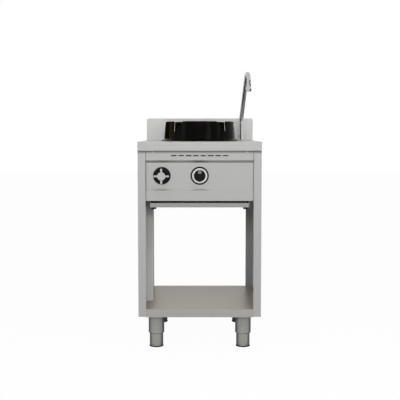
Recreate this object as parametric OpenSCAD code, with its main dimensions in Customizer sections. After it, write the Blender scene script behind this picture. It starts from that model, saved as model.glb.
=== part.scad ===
// Free-standing gas wok range with one burner, a water spout, a drip tray and an open bay
// The origin is on the floor, midway in width and depth. The front faces -Y and +Z is up.
// Shapes are drawn with Y counted back from the worktop's front edge, then moved into that frame.

/* [Worktop] */
// Width of the worktop and of the whole range
worktop_w = 500; // [470:5:600]
// Depth of the worktop from its front edge to its back
worktop_d = 650; // [630:5:720]
// Height of the worktop's surface above the floor
worktop_z = 850; // [830:5:900]
// Height of the apron folded down round the worktop
apron_h = 36.5; // [32:0.5:42]
// Radius of the worktop's front edge
front_edge_r = 5; // [3:0.5:8]
// Thickness of the folded sheet
sheet_t = 1.5; // [1:0.1:2]
// Height of the upstand along the back
upstand_h = 102.5; // [60:0.5:160]
// Depth of the upstand
upstand_d = 34.5; // [25:0.5:45]
// Radius of the upstand's top corners
upstand_corner_r = 10; // [4:1:20]

/* [Cabinet] */
// Set-back of the cabinet's front behind the worktop's front edge
cabinet_setback = 9; // [5:1:15]
// Overhang of the worktop behind the side panels
back_overhang = 60; // [50:1:75]
// Height of the side panels' lower edge above the floor
cabinet_z = 135.5; // [125:0.5:150]
// Width of the posts folded on the front of the side panels
post_w = 31; // [27:1:36]
// Width of the flanges folded on the back of the side panels
rear_flange_w = 33; // [28:1:40]
// Height of the shelf's surface above the side panels' lower edge
shelf_rise = 31.5; // [29:0.5:40]
// Height of the shelf's front lip
shelf_lip_h = 33; // [25:0.5:40]
// Gap between the shelf and the back of the side panels
shelf_back_gap = 38; // [25:1:50]

/* [Front panel] */
// Height of the slotted strip at the top
upper_strip_h = 37; // [30:1:45]
// Height of the slope below the slotted strip
upper_slope_h = 10; // [6:1:14]
// Height of the recessed control face
recess_h = 105; // [96:1:120]
// Depth of the recess
recess_d = 10; // [7:1:12]
// Height of the slope below the control face
lower_slope_h = 8; // [5:1:12]
// Height of the plain strip at the bottom
lower_strip_h = 41; // [34:1:48]
// Number of vent slots
slot_count = 8; // [4:1:9]
// Length of a vent slot
slot_l = 23; // [16:1:26]
// Height of a vent slot
slot_h = 5; // [3:0.5:7]
// Pitch of the vent slots
slot_pitch = 29.8; // [28:0.1:34]

/* [Wok ring] */
// Place of the burner's centre behind the worktop's front edge
burner_y = 305; // [295:5:330]
// Radius of the ring's base flange
ring_base_r = 167; // [160:1:175]
// Outer radius of the ring's wall at its foot
ring_foot_r = 155; // [152:1:158]
// Outer radius of the ring's wall at its rim
ring_rim_r = 149.5; // [146:0.5:152]
// Height of the ring
ring_h = 84; // [74:1:96]
// Thickness of the ring's wall
ring_wall = 8; // [6:0.5:9]
// Height of the notches' floor above the ring's base
notch_floor_h = 38.5; // [30:0.5:45]
// Width of a notch at the rim
notch_rim_w = 46; // [36:1:50]
// Width of a notch at its round floor
notch_floor_w = 22; // [14:1:28]

/* [Taps] */
// Distance of the water tap from the range's left side
water_inset = 97; // [90:1:110]
// Radius of the water tap's black escutcheon
escutcheon_r = 35.5; // [30:0.5:40]
// Length from the control face to the front of the cross handle
handle_standoff = 69; // [62:1:80]
// Length of the cross handle's arms from its axis
handle_arm = 31.5; // [27:0.5:36]
// Radius of the cross handle's hub
handle_hub_r = 16.5; // [15:0.5:18]
// Radius of the gas knob's bezel
bezel_r = 36.8; // [34:0.2:40]
// Outer radius of the silver dial ring
dial_r = 31.7; // [29:0.1:33]
// Radius of the gas knob
knob_r = 23.2; // [21:0.1:26]
// Travel of the gas knob when it is pushed
knob_push = 4; // [2:0.5:4.5]

/* [Faucet] */
// Distance of the faucet from the range's right side
faucet_inset = 58; // [50:1:70]
// Distance of the faucet from the worktop's back
faucet_back_gap = 120; // [105:1:130]
// Radius of the spout's tube
spout_r = 9.5; // [8:0.5:10]
// Height of the spout's bend above the worktop
spout_bend_h = 100; // [80:1:120]
// Height of the hook's top above the worktop
spout_h = 303; // [270:1:340]
// Reach of the spout from its swivel axis to its outlet
spout_reach = 201; // [170:1:240]
// Turn of the spout to the right of straight ahead, in degrees
spout_turn = 6; // [0:1:30]

/* [Drip tray and legs] */
// Distance of the drip tray's front from the range's sides
tray_inset = 49; // [48:0.5:60]
// Height of the drip tray's front
tray_h = 18; // [14:1:24]
// Gap between the front panel and the drip tray
tray_gap = 9; // [7:0.5:14]
// Distance of the drip tray's back from the back of the side panels
tray_back_gap = 35; // [25:1:80]
// Distance of the legs from the range's sides
leg_inset = 70; // [68:1:85]
// Place of the front legs behind the worktop's front edge
leg_front_y = 75; // [65:1:95]
// Distance of the rear legs from the back of the side panels
leg_back_gap = 52; // [50:1:90]
// Outer radius of a leg's sleeve
sleeve_r = 32.4; // [31.5:0.1:33]
// Height of a sleeve's lower end above the floor
sleeve_z = 57; // [45:1:65]
// Radius of a foot's tube
foot_r = 27.75; // [25:0.05:28]
// Height of the black ring under a foot
foot_ring_h = 5; // [4:0.5:8]

/* [Hidden] */
$fn = 96;

// Overrun of every cut past the face that it opens
cut = 1;
// Running clearance of a turning or sliding fit, on the radius
fit = 0.08;
// Gap under a piece that lifts off or slides out
seat_gap = 0.2;
// Gap between sheet pieces that stand side by side
sheet_gap = 0.4;
hex_sides = 6;

// Cabinet planes
half_w = worktop_w / 2;
web_x = half_w - sheet_t;
post_x = half_w - post_w;
rear_x = half_w - rear_flange_w;
cabinet_y = cabinet_setback;
cabinet_back_y = worktop_d - back_overhang;
cabinet_top_z = worktop_z - apron_h;
shelf_z = cabinet_z + shelf_rise;
shelf_back_y = cabinet_back_y - shelf_back_gap;
// Widths of the folds on the sheet pieces
return_w = 20;
post_lip_d = 16;
rear_hem_w = 13.5;
shelf_edge_r = 3;

// Front panel levels, from the top down
fascia_gap = 1.5;
fascia_flange_d = 25;
fascia_top_z = cabinet_top_z - fascia_gap;
strip_z = fascia_top_z - upper_strip_h;
recess_top_z = strip_z - upper_slope_h;
recess_z = recess_top_z - recess_h;
lower_strip_z = recess_z - lower_slope_h;
fascia_z = lower_strip_z - lower_strip_h;
recess_y = cabinet_y + recess_d;
panel_back_y = recess_y + sheet_t;
control_z = recess_z + recess_h / 2;
// Small screws under the worktop's front edge
screw_inset = 60;
screw_x = half_w - screw_inset;
screw_drop = 4;
screw_head_r = 3.2;
screw_head_h = 2;
screw_r = 1.9;
screw_l = 12;

// The whole range is centred on its depth, from the cross handle to the worktop's back
handle_front_y = recess_y - handle_standoff;
frame_mid_y = (worktop_d + handle_front_y) / 2;

// Drip tray and its runners
tray_setback = 6;
tray_w = worktop_w - 2 * tray_inset;
tray_y = cabinet_y + tray_setback;
tray_back_y = cabinet_back_y - tray_back_gap;
tray_z = fascia_z - tray_gap - tray_h;
tray_side_inset = 6;
tray_x = tray_w / 2 - tray_side_inset;
tray_rim_drop = 2;
runner_clear = 1;
runner_w = 20;
runner_lip_h = 7;
runner_rise = 56;
runner_in_x = tray_x + runner_clear + sheet_t - runner_w;
runner_out_x = runner_in_x + runner_w;
runner_y = tray_y + sheet_t + runner_clear;
runner_back_y = tray_back_y;
runner_hook_y = cabinet_y + fascia_flange_d + runner_clear;
runner_top_z = tray_z + runner_rise;
runner_tab_l = 70;
runner_tab_inset = 30;

// Service duct on the left of the shelf, and the water inlet inside it
duct_gap = 1.5;
duct_x = runner_out_x + duct_gap;
duct_setback = 184;
duct_d = 75;
duct_y = cabinet_y + duct_setback;
duct_top_z = runner_top_z;
inlet_shift = 4;
inlet_x = (duct_x + web_x) / 2 + inlet_shift;
inlet_y = duct_y + duct_d / 2;

// Half inch pipe thread on both inlets
thread_r = 10.475;
thread_l = 22;
inlet_bore_r = 7;
inlet_hex_r = 15;
inlet_hex_l = 8;
inlet_neck_r = 9;
inlet_neck_l = 18;
inlet_hole_r = inlet_neck_r + sheet_gap;

// Pipes
pipe_r = 7.5;
pipe_wall = 1;
pipe_bend_r = 22;
pilot_pipe_r = 3;
pilot_bend_r = 9;
lead_r = 1.5;
riser_end_l = 6;
run_lap = 0.5;
run_step = 0.03;

// Legs and their bearers
leg_x = half_w - leg_inset;
leg_rear_y = cabinet_back_y - leg_back_gap;
leg_at = [[-leg_x, leg_front_y], [leg_x, leg_front_y], [-leg_x, leg_rear_y], [leg_x, leg_rear_y]];
bearer_w = 60;
bearer_h = 25.5;
bearer_flange_w = 14;
bearer_z = shelf_z - sheet_t - bearer_h;
bearer_inset = 20;
bearer_tail = 4;
bearer_tail_h = 12;
leg_plate_w = 76;
leg_plate_d = 86;
leg_plate_t = 3;
leg_bolt_x = 22;
leg_bolt_y = 35;
leg_bolt_r = 4;
leg_bolt_head_r = 6.4;
leg_bolt_head_h = 5;
leg_bolt_end_h = 8;
bolt_clear = 0.3;
sleeve_chamfer = 2;
foot_wall = 3;
foot_engaged_l = 65;
foot_groove_h = 1.2;
foot_groove_d = 0.7;
foot_groove_rise = 5;
foot_ring_lip = 1.6;
foot_ring_chamfer = 1;

// Spill bowl hung in the worktop's opening, its flange inside the foot of the wok ring
ring_inner_foot = 4;
bowl_ring_clear = 7;
bowl_flange_w = 20;
bowl_flange_r = ring_foot_r - ring_wall - ring_inner_foot - bowl_ring_clear;
bowl_rim_r = bowl_flange_r - bowl_flange_w;
bowl_hole_r = 80;
bowl_lip_w = 12;
bowl_floor_r = bowl_hole_r + bowl_lip_w;
bowl_d = 58;
bowl_clear = 1;

// Burner, its bridge and its mixing tube
bridge_w = 50;
bridge_h = 20;
bridge_drop = 50;
burner_drop = 50;
bridge_top_z = control_z - bridge_drop;
burner_seat_z = worktop_z - burner_drop;
chamber_r = 60;
chamber_rim_h = 15;
chamber_funnel_h = 42;
mixer_r = 24;
mixer_wall = 5;
mixer_ball_r = 26;
throat_r = 18;
mouth_r = 30;
mixer_mouth_l = 140;
mixer_flare_l = 35;
mixer_throat_l = 30;
foot_post_r = 12;
foot_plate_w = 70;
foot_plate_d = 36;
foot_plate_t = 6;
// Lug that carries the pilot and the thermocouple, with their places round the burner in degrees
lug_r = 77;
lug_h = 8;
lug_drop = 24;
lug_start_deg = 280;
lug_sweep_deg = 44;
pilot_ring_r = 70;
pilot_deg = 290;
probe_deg = 312;
pilot_hood_r = 5;
pilot_hood_l = 24;
pilot_stem_l = 62;
probe_r = 2.5;
probe_l = 66;
// Burner head
head_r = 62;
head_spigot_l = 9;
head_side_h = 40;
head_top_r = 46;
head_top_h = 10;
head_wall = 9;
head_roof_t = 8;
port_count = 30;
port_w = 3;
port_h = 16;
port_rise = 14;

// Injector and its holder in front of the mixing tube
holder_gap = 24;
holder_t = 4;
holder_arm_w = 6;
injector_r = 8;
injector_tip_r = 4;
injector_nose_l = 12;
injector_tail_l = 12;
injector_hex_r = 11;
injector_bore_r = 1.2;

// Gas tap
tap_r = 17;
tap_l = 52;
tap_neck_r = 8.8;
tap_neck_l = 5;
tap_outlet_r = 9;
tap_outlet_l = 12;
tap_inlet_r = 11;
tap_inlet_x = 36;
tap_inlet_back = 30;
tap_magnet_r = 9;
tap_magnet_l = 28;
tap_magnet_back = 38;
tap_pilot_r = 5;
tap_pilot_l = 5;
tap_bore_r = 4;
plug_r = 10;
plug_l = 28;
plug_back = 11;
spindle_r = 4;
spindle_in_l = 16;
neck_hole_clear = 0.2;
nut_t = 3;
gas_nut_r = 13;
// Bezel, dial and knob
bezel_t = 5;
bezel_chamfer = 1.5;
knob_gap = 0.8;
dial_t = 1.2;
knob_depth = 14;
knob_taper = 1;
knob_wall = 3;
knob_hub_r = 8;
knob_edge = 1.5;
grip_w = 15;
grip_h = 15;
grip_top_share = 0.96;
grip_slope_share = 0.38;
grip_tip_share = 0.66;
grip_tail = 1.6;

// Water tap
water_x = half_w - water_inset;
valve_r = 15;
valve_l = 48;
valve_port_r = 10.5;
valve_port_l = 11;
valve_port_back = 25;
bonnet_r = 11;
water_nut_r = 17;
bonnet_gap = 20;
handle_skirt = 5;
handle_dome_h = 7;
handle_dome_r = 9;
handle_edge = 2.5;
arm_root_r = 3.6;
arm_tip_r = 4.4;
arm_back = 14;
escutcheon_h = 6;
escutcheon_edge = 1.6;
escutcheon_crown_r = 21;

// Faucet
faucet_x = half_w - faucet_inset;
faucet_y = worktop_d - faucet_back_gap;
faucet_flange_r = 14.5;
faucet_flange_h = 4;
faucet_body_r = 12;
faucet_body_h = 17;
swivel_nut_h = 9;
swivel_nut_r = 13;
shank_r = 10.2;
shank_l = 50;
faucet_nut_r = 17;
faucet_nut_h = 9;
spout_wall = 1.2;
spout_seat_h = 5;
spout_corner_r = 45;
hook_r = 30;
hook_drop = 32;
aerator_r = 13.5;
aerator_neck_r = 11;
aerator_l = 35;
aerator_overlap = 18;
aerator_neck_l = 12;

// Wok ring
ring_flange_t = 6;
ring_flange_edge_t = 2.5;
ring_fillet_r = 6;
notch_corner = 4;
notch_lean = 14;
arc_steps = 6;
// Turns of the notches to each side of the front, and of the one behind, in degrees
notch_degs = [38.7888399, 86.0221971, 123.4886647];
rear_notch_deg = 180;

// Gas inlet at the back
gas_inlet_inset = 130;
gas_inlet_x = half_w - gas_inlet_inset;
rear_panel_drop = 4;
rear_lap = 24;
rear_slot_h = 6;
rear_slot_count = 5;
rear_slot_margin = 22;
rear_slot_web = 18;
rear_slot_pitch = 2 * (rear_x - rear_slot_margin) / rear_slot_count;
rear_slot_l = rear_slot_pitch - rear_slot_web;
rear_slot_rows = 2;
rear_slot_row_pitch = 18;
rear_slot_drop = 62;

// Directions and paths of bent rods and pipes
function unit(v) = v / norm(v);
function heading(p, i) = unit(p[i + 1] - p[i]);
function bend_deg(p, i) = acos(heading(p, i - 1) * heading(p, i));
function is_end(p, i) = i == 0 || i == len(p) - 1;
function bend_at(bend_r, i) = is_list(bend_r) ? bend_r[i] : bend_r;
function bend_trim(p, i, bend_r) = is_end(p, i) ? 0 : bend_at(bend_r, i) * tan(bend_deg(p, i) / 2);
function bend_lap(p, i) = is_end(p, i) ? 0 : run_lap;
function side_of(u) = unit(cross(u, abs(u.z) < abs(u.x) + abs(u.y) ? [0, 0, 1] : [1, 0, 0]));
function overrun_at(p, i) = i == 0 ? -heading(p, 0) : heading(p, len(p) - 2);
function overrun_ends(p) = [for (i = [0 : len(p) - 1]) is_end(p, i) ? p[i] + overrun_at(p, i) * cut : p[i]];
function turned(r, deg) = [r * cos(deg), r * sin(deg)];

module placed() translate([0, -frame_mid_y, 0]) children();

// Block between two opposite corners
module block(low, high) translate(low) cube(high - low);

// Outline in depth and height, drawn along the width
module along_x(l) rotate([90, 0, 90]) linear_extrude(l, center = true) children();

// Outline in width and height, drawn back from one depth to another
module along_y(y0, y1) translate([0, y1, 0]) rotate([90, 0, 0]) linear_extrude(y1 - y0) children();

// Shapes of revolution about an axis that runs to the front or to the back
module to_front(x, y, z) translate([x, y, z]) rotate([90, 0, 0]) children();
module to_back(x, y, z) translate([x, y, z]) rotate([-90, 0, 0]) children();

module axes_at(x, y, z, at)
    multmatrix([for (i = [0 : 3]) i == 3 ? [0, 0, 0, 1] : [x[i], y[i], z[i], at[i]]]) children();

// The straight runs end a little way inside the bends, which are a hair thicker
module rod_run(p, i, bend_r, r) {
    u = heading(p, i);
    a = p[i] + u * (bend_trim(p, i, bend_r) - bend_lap(p, i));
    b = p[i + 1] - u * (bend_trim(p, i + 1, bend_r) - bend_lap(p, i + 1));
    side = side_of(u);
    axes_at(side, cross(u, side), u, a) cylinder(r = r, h = norm(b - a));
}

module rod_bend(p, i, bend_r, r) {
    u = heading(p, i - 1);
    v = heading(p, i);
    start = p[i] - u * bend_trim(p, i, bend_r);
    inward = unit(v - u * (u * v));
    axes_at(-inward, u, cross(-inward, u), start + inward * bend_at(bend_r, i))
        rotate_extrude(angle = bend_deg(p, i)) translate([bend_at(bend_r, i), 0]) circle(r = r + run_step);
}

module rod_path(p, bend_r, r) {
    for (i = [0 : len(p) - 2]) rod_run(p, i, bend_r, r);
    if (len(p) > 2) for (i = [1 : len(p) - 2]) rod_bend(p, i, bend_r, r);
}

module pipe(p, bend_r, r, wall) difference() {
    rod_path(p, bend_r, r);
    rod_path(overrun_ends(p), bend_r, r - wall);
}

module slot_outline(l, h) {
    square([l - h, h], center = true);
    for (s = [-1, 1]) translate([s * (l - h) / 2, 0]) circle(d = h);
}

// Outline in depth and height with a rounded upper front edge
module edge_outline(y0, y1, z0, z1, r) {
    translate([y0 + r, z0]) square([y1 - y0 - r, z1 - z0]);
    translate([y0, z0]) square([r, z1 - z0 - r]);
    translate([y0 + r, z1 - r]) circle(r = r);
}

// Worktop folded as an inverted tray, with returns that sit on the cabinet
module worktop_section() difference() {
    edge_outline(0, worktop_d, cabinet_top_z, worktop_z, front_edge_r);
    edge_outline(sheet_t, worktop_d - sheet_t, cabinet_top_z + sheet_t, worktop_z - sheet_t,
        front_edge_r - sheet_t);
    translate([return_w, cabinet_top_z - cut]) square([worktop_d - 2 * return_w, sheet_t + 2 * cut]);
}

module worktop() color("gainsboro") placed() difference() {
    union() {
        along_x(worktop_w) worktop_section();
        for (s = [-1, 1]) {
            translate([s * (half_w - sheet_t / 2), 0, 0]) along_x(sheet_t)
                edge_outline(0, worktop_d, cabinet_top_z, worktop_z, front_edge_r);
            translate([s * (half_w - return_w / 2), 0, 0]) along_x(return_w)
                translate([0, cabinet_top_z]) square([worktop_d, sheet_t]);
        }
    }
    translate([0, burner_y, worktop_z - sheet_t - cut])
        cylinder(r = bowl_rim_r + bowl_clear, h = sheet_t + 2 * cut);
    translate([faucet_x, faucet_y, worktop_z - sheet_t - cut])
        cylinder(r = shank_r + fit, h = sheet_t + 2 * cut);
}

module upstand_outline(w, h, r) {
    translate([-w / 2, 0]) square([w, h - r]);
    translate([-w / 2 + r, h - r]) square([w - 2 * r, r]);
    for (s = [-1, 1]) translate([s * (w / 2 - r), h - r]) circle(r = r);
}

module upstand() color("silver") placed() translate([0, 0, worktop_z]) difference() {
    along_y(worktop_d - upstand_d, worktop_d) upstand_outline(worktop_w, upstand_h, upstand_corner_r);
    translate([0, 0, -sheet_t]) along_y(worktop_d - upstand_d + sheet_t, worktop_d - sheet_t)
        upstand_outline(worktop_w - 2 * sheet_t, upstand_h, upstand_corner_r - sheet_t);
}

// Side panel: a web with a post on the front, a hemmed flange on the back and a flange on top
module side_panel() {
    top_z = cabinet_top_z;
    block([web_x, cabinet_y, cabinet_z], [half_w, cabinet_back_y, top_z]);
    block([post_x, cabinet_y, cabinet_z], [half_w, cabinet_y + sheet_t, top_z]);
    block([post_x, cabinet_y, cabinet_z], [post_x + sheet_t, cabinet_y + post_lip_d, top_z]);
    block([rear_x, cabinet_back_y - sheet_t, cabinet_z], [half_w, cabinet_back_y, top_z]);
    block([rear_x, cabinet_back_y - 2 * sheet_t, cabinet_z],
        [rear_x + rear_hem_w, cabinet_back_y - sheet_t, top_z]);
    block([post_x, cabinet_y, top_z - sheet_t], [half_w, cabinet_back_y, top_z]);
}

module left_side_panel() color("silver") placed() mirror([1, 0, 0]) side_panel();

module right_side_panel() color("silver") placed() side_panel();

// Front panel folded from one sheet, with its holes
function fascia_line(dy) = [for (p = [[cabinet_y, lower_strip_z], [recess_y, recess_z],
    [recess_y, recess_top_z], [cabinet_y, strip_z]]) [p.x + dy, p.y]];
function fascia_end(z, dz) = [[cabinet_y + sheet_t, z + dz], [cabinet_y + fascia_flange_d, z + dz],
    [cabinet_y + fascia_flange_d, z], [cabinet_y, z]];
function reversed(p) = [for (i = [len(p) - 1 : -1 : 0]) p[i]];

module vent_slots() for (i = [0 : slot_count - 1])
    translate([(i - (slot_count - 1) / 2) * slot_pitch, (strip_z + fascia_top_z) / 2])
        slot_outline(slot_l, slot_h);

module front_panel() color("lightgray") placed() difference() {
    along_x(2 * (post_x - sheet_gap)) polygon(concat(fascia_end(fascia_z, sheet_t), fascia_line(0),
        reversed(fascia_end(fascia_top_z, -sheet_t)), reversed(fascia_line(sheet_t))));
    along_y(cabinet_y - cut, recess_y) vent_slots();
    to_back(0, recess_y - cut, control_z) cylinder(r = tap_neck_r + neck_hole_clear, h = sheet_t + 2 * cut);
    to_back(-water_x, recess_y - cut, control_z)
        cylinder(r = bonnet_r + neck_hole_clear, h = sheet_t + 2 * cut);
    for (s = [-1, 1]) to_back(s * screw_x, cabinet_y - cut, fascia_top_z - screw_drop)
        cylinder(r = screw_r + fit, h = sheet_t + 2 * cut);
}

module fascia_screws() color("silver") placed() for (s = [-1, 1])
    translate([s * screw_x, cabinet_y, fascia_top_z - screw_drop]) {
        to_front(0, 0, 0) cylinder(r1 = screw_head_r, r2 = screw_head_r / 2, h = screw_head_h);
        to_back(0, 0, 0) cylinder(r = screw_r, h = screw_l);
    }

// Bottom shelf with a rounded front lip between the posts and a short lip behind
module bottom_shelf() color("darkgray") placed() difference() {
    front_w = 2 * (post_x - sheet_gap);
    lip_z = shelf_z - shelf_lip_h;
    deck_y = cabinet_y + post_lip_d + sheet_gap;
    rear_lip_x = leg_x - bearer_w / 2 - sheet_gap;
    union() {
        along_x(front_w) difference() {
            edge_outline(cabinet_y, deck_y, lip_z, shelf_z, shelf_edge_r);
            edge_outline(cabinet_y + sheet_t, deck_y + cut, lip_z - cut, shelf_z - sheet_t,
                shelf_edge_r - sheet_t);
        }
        block([-web_x, deck_y, shelf_z - sheet_t], [web_x, shelf_back_y, shelf_z]);
        block([-rear_lip_x, shelf_back_y - sheet_t, bearer_z], [rear_lip_x, shelf_back_y, shelf_z]);
    }
    translate([-inlet_x, inlet_y, shelf_z - sheet_t - cut])
        cylinder(r = inlet_hole_r, h = sheet_t + 2 * cut);
}

// Rear panel of the burner box, on the outside of the side panels' flanges
module rear_slots() for (i = [0 : rear_slot_count - 1], j = [0 : rear_slot_rows - 1])
    translate([(i - (rear_slot_count - 1) / 2) * rear_slot_pitch,
        cabinet_top_z - rear_slot_drop - j * rear_slot_row_pitch]) slot_outline(rear_slot_l, rear_slot_h);

module rear_panel() color("silver") placed() difference() {
    block([-rear_x - rear_lap, cabinet_back_y, fascia_z - rear_panel_drop],
        [rear_x + rear_lap, cabinet_back_y + sheet_t, cabinet_top_z - sheet_gap]);
    along_y(cabinet_back_y - cut, cabinet_back_y + sheet_t + cut) {
        rear_slots();
        translate([gas_inlet_x, control_z]) circle(r = inlet_hole_r);
    }
}

// Duct standing on the shelf against the left side panel, round the water pipe
module service_duct() color("silver") placed() difference() {
    block([-web_x, duct_y, shelf_z], [-duct_x, duct_y + duct_d, duct_top_z]);
    block([-web_x - cut, duct_y + sheet_t, shelf_z - cut],
        [-duct_x - sheet_t, duct_y + duct_d - sheet_t, duct_top_z + cut]);
}

// Channel under the shelf that two legs are bolted to
module leg_bearer(s) {
    low_x = s * leg_x - bearer_w / 2;
    y0 = cabinet_y + bearer_inset;
    y1 = cabinet_back_y - 2 * sheet_t - bearer_tail;
    difference() {
        block([low_x, y0, bearer_z], [low_x + bearer_w, y1, bearer_z + bearer_h]);
        block([low_x + sheet_t, y0 - cut, bearer_z + sheet_t],
            [low_x + bearer_w - sheet_t, y1 + cut, bearer_z + bearer_h - sheet_t]);
        block([low_x + bearer_flange_w, y0 - cut, bearer_z + bearer_h - 2 * sheet_t],
            [low_x + bearer_w - bearer_flange_w, y1 + cut, bearer_z + bearer_h + cut]);
        block([low_x - cut, shelf_back_y, bearer_z + bearer_tail_h],
            [low_x + bearer_w + cut, y1 + cut, bearer_z + bearer_h + cut]);
        for (at = leg_at) leg_bolt_places(at) translate([0, 0, bearer_z - cut])
            cylinder(r = leg_bolt_r + bolt_clear, h = sheet_t + 2 * cut);
    }
}

// Bolts of one leg, nearer together across the bearer than along it
module leg_bolt_places(at) for (sx = [-1, 1], sy = [-1, 1])
    translate([at.x + sx * leg_bolt_x, at.y + sy * leg_bolt_y, 0]) children();

module left_leg_bearer() color("silver") placed() leg_bearer(-1);

module right_leg_bearer() color("silver") placed() leg_bearer(1);

// Leg: a plate bolted under the bearer with a sleeve welded to it
module leg(at) color("darkgray") placed() {
    plate_z = bearer_z - leg_plate_t;
    difference() {
        block([at.x - leg_plate_w / 2, at.y - leg_plate_d / 2, plate_z],
            [at.x + leg_plate_w / 2, at.y + leg_plate_d / 2, bearer_z]);
        leg_bolt_places(at) translate([0, 0, plate_z - cut])
            cylinder(r = leg_bolt_r + bolt_clear, h = leg_plate_t + 2 * cut);
    }
    translate([at.x, at.y, 0]) rotate_extrude() polygon([[foot_r + fit, sleeve_z],
        [sleeve_r - sleeve_chamfer, sleeve_z], [sleeve_r, sleeve_z + sleeve_chamfer],
        [sleeve_r, plate_z + leg_plate_t / 2], [foot_r + fit, plate_z + leg_plate_t / 2]]);
}

module leg_bolts() color("silver") placed() for (at = leg_at) leg_bolt_places(at) {
    plate_z = bearer_z - leg_plate_t;
    translate([0, 0, plate_z - leg_bolt_head_h])
        cylinder(r = leg_bolt_head_r, h = leg_bolt_head_h, $fn = hex_sides);
    translate([0, 0, plate_z - leg_bolt_head_h])
        cylinder(r = leg_bolt_r, h = leg_bolt_head_h + leg_plate_t + sheet_t + leg_bolt_end_h);
}

// Foot: a tube that screws out of its sleeve, closed below, on a black ring
module foot(at) color("darkgray") placed() translate([at.x, at.y, 0]) rotate_extrude() difference() {
    translate([0, foot_ring_h]) square([foot_r, sleeve_z + foot_engaged_l - foot_ring_h]);
    translate([0, foot_ring_h + foot_wall]) square([foot_r - foot_wall, sleeve_z + foot_engaged_l]);
    translate([foot_r - foot_groove_d, foot_ring_h + foot_groove_rise])
        square([foot_groove_d + cut, foot_groove_h]);
}

module foot_ring(at) color("black") placed() translate([at.x, at.y, 0]) rotate_extrude()
    polygon([[0, 0], [foot_r, 0], [foot_r + foot_ring_lip, foot_ring_chamfer],
        [foot_r + foot_ring_lip, foot_ring_h - foot_ring_chamfer], [foot_r, foot_ring_h],
        [0, foot_ring_h]]);

// Runner that carries one side of the drip tray, hung from the side panel by two tabs
module tray_runner() {
    seat_z = tray_z - seat_gap;
    block([runner_in_x, runner_y, seat_z - sheet_t], [runner_out_x, runner_back_y, seat_z]);
    block([runner_in_x, runner_y, seat_z - runner_lip_h], [runner_in_x + sheet_t, runner_back_y, seat_z]);
    block([runner_out_x - sheet_t, runner_y, seat_z - runner_lip_h],
        [runner_out_x, runner_back_y, fascia_z - runner_clear]);
    block([runner_out_x - sheet_t, runner_hook_y, seat_z - runner_lip_h],
        [runner_out_x, runner_back_y, runner_top_z]);
    for (y = [runner_y + runner_tab_inset, runner_back_y - runner_tab_inset - runner_tab_l])
        block([runner_out_x - sheet_t, y, runner_top_z - sheet_t], [web_x, y + runner_tab_l, runner_top_z]);
}

module left_tray_runner() color("dimgray") placed() mirror([1, 0, 0]) tray_runner();

module right_tray_runner() color("dimgray") placed() tray_runner();

module drip_tray() color("lightgray") placed() {
    rim_z = tray_z + tray_h - tray_rim_drop;
    difference() {
        block([-tray_x, tray_y, tray_z], [tray_x, tray_back_y, rim_z]);
        block([-tray_x + sheet_t, tray_y + sheet_t, tray_z + sheet_t],
            [tray_x - sheet_t, tray_back_y - sheet_t, rim_z + cut]);
    }
    block([-tray_w / 2, tray_y, tray_z], [tray_w / 2, tray_y + sheet_t, tray_z + tray_h]);
}

// Spill bowl with its rim on the worktop and a hole for the burner
module spill_bowl() color("gainsboro") placed() translate([0, burner_y, worktop_z]) rotate_extrude()
    polygon([[bowl_flange_r, 0], [bowl_flange_r, sheet_t], [bowl_rim_r - sheet_t, sheet_t],
        [bowl_floor_r - sheet_t, -bowl_d], [bowl_hole_r, -bowl_d], [bowl_hole_r, -bowl_d - sheet_t],
        [bowl_floor_r, -bowl_d - sheet_t], [bowl_rim_r, 0]]);

// Channel across the cabinet that carries the burner
module burner_bridge() color("silver") placed() difference() {
    block([-web_x, burner_y - bridge_w / 2, bridge_top_z - bridge_h],
        [web_x, burner_y + bridge_w / 2, bridge_top_z]);
    block([-web_x - cut, burner_y - bridge_w / 2 + sheet_t, bridge_top_z - bridge_h - cut],
        [web_x + cut, burner_y + bridge_w / 2 - sheet_t, bridge_top_z - sheet_t]);
}

// Burner casting: a mixing tube to the front, a funnel up to the chamber, and a foot
funnel_z = burner_seat_z - chamber_rim_h - chamber_funnel_h;
mixer_mouth_y = burner_y - mixer_mouth_l;

module funnel(inset, over) rotate_extrude() polygon([[0, control_z], [mixer_r - inset, control_z],
    [mixer_r - inset, funnel_z], [chamber_r - inset, funnel_z + chamber_funnel_h],
    [chamber_r - inset, burner_seat_z + over], [0, burner_seat_z + over]]);

module mixer(inset, over) rotate_extrude() polygon([[0, 0], [mixer_r - inset, 0],
    [mixer_r - inset, mixer_mouth_l - mixer_flare_l - mixer_throat_l],
    [throat_r - inset, mixer_mouth_l - mixer_flare_l], [mouth_r - inset, mixer_mouth_l],
    [mouth_r - inset, mixer_mouth_l + over], [0, mixer_mouth_l + over]]);

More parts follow.
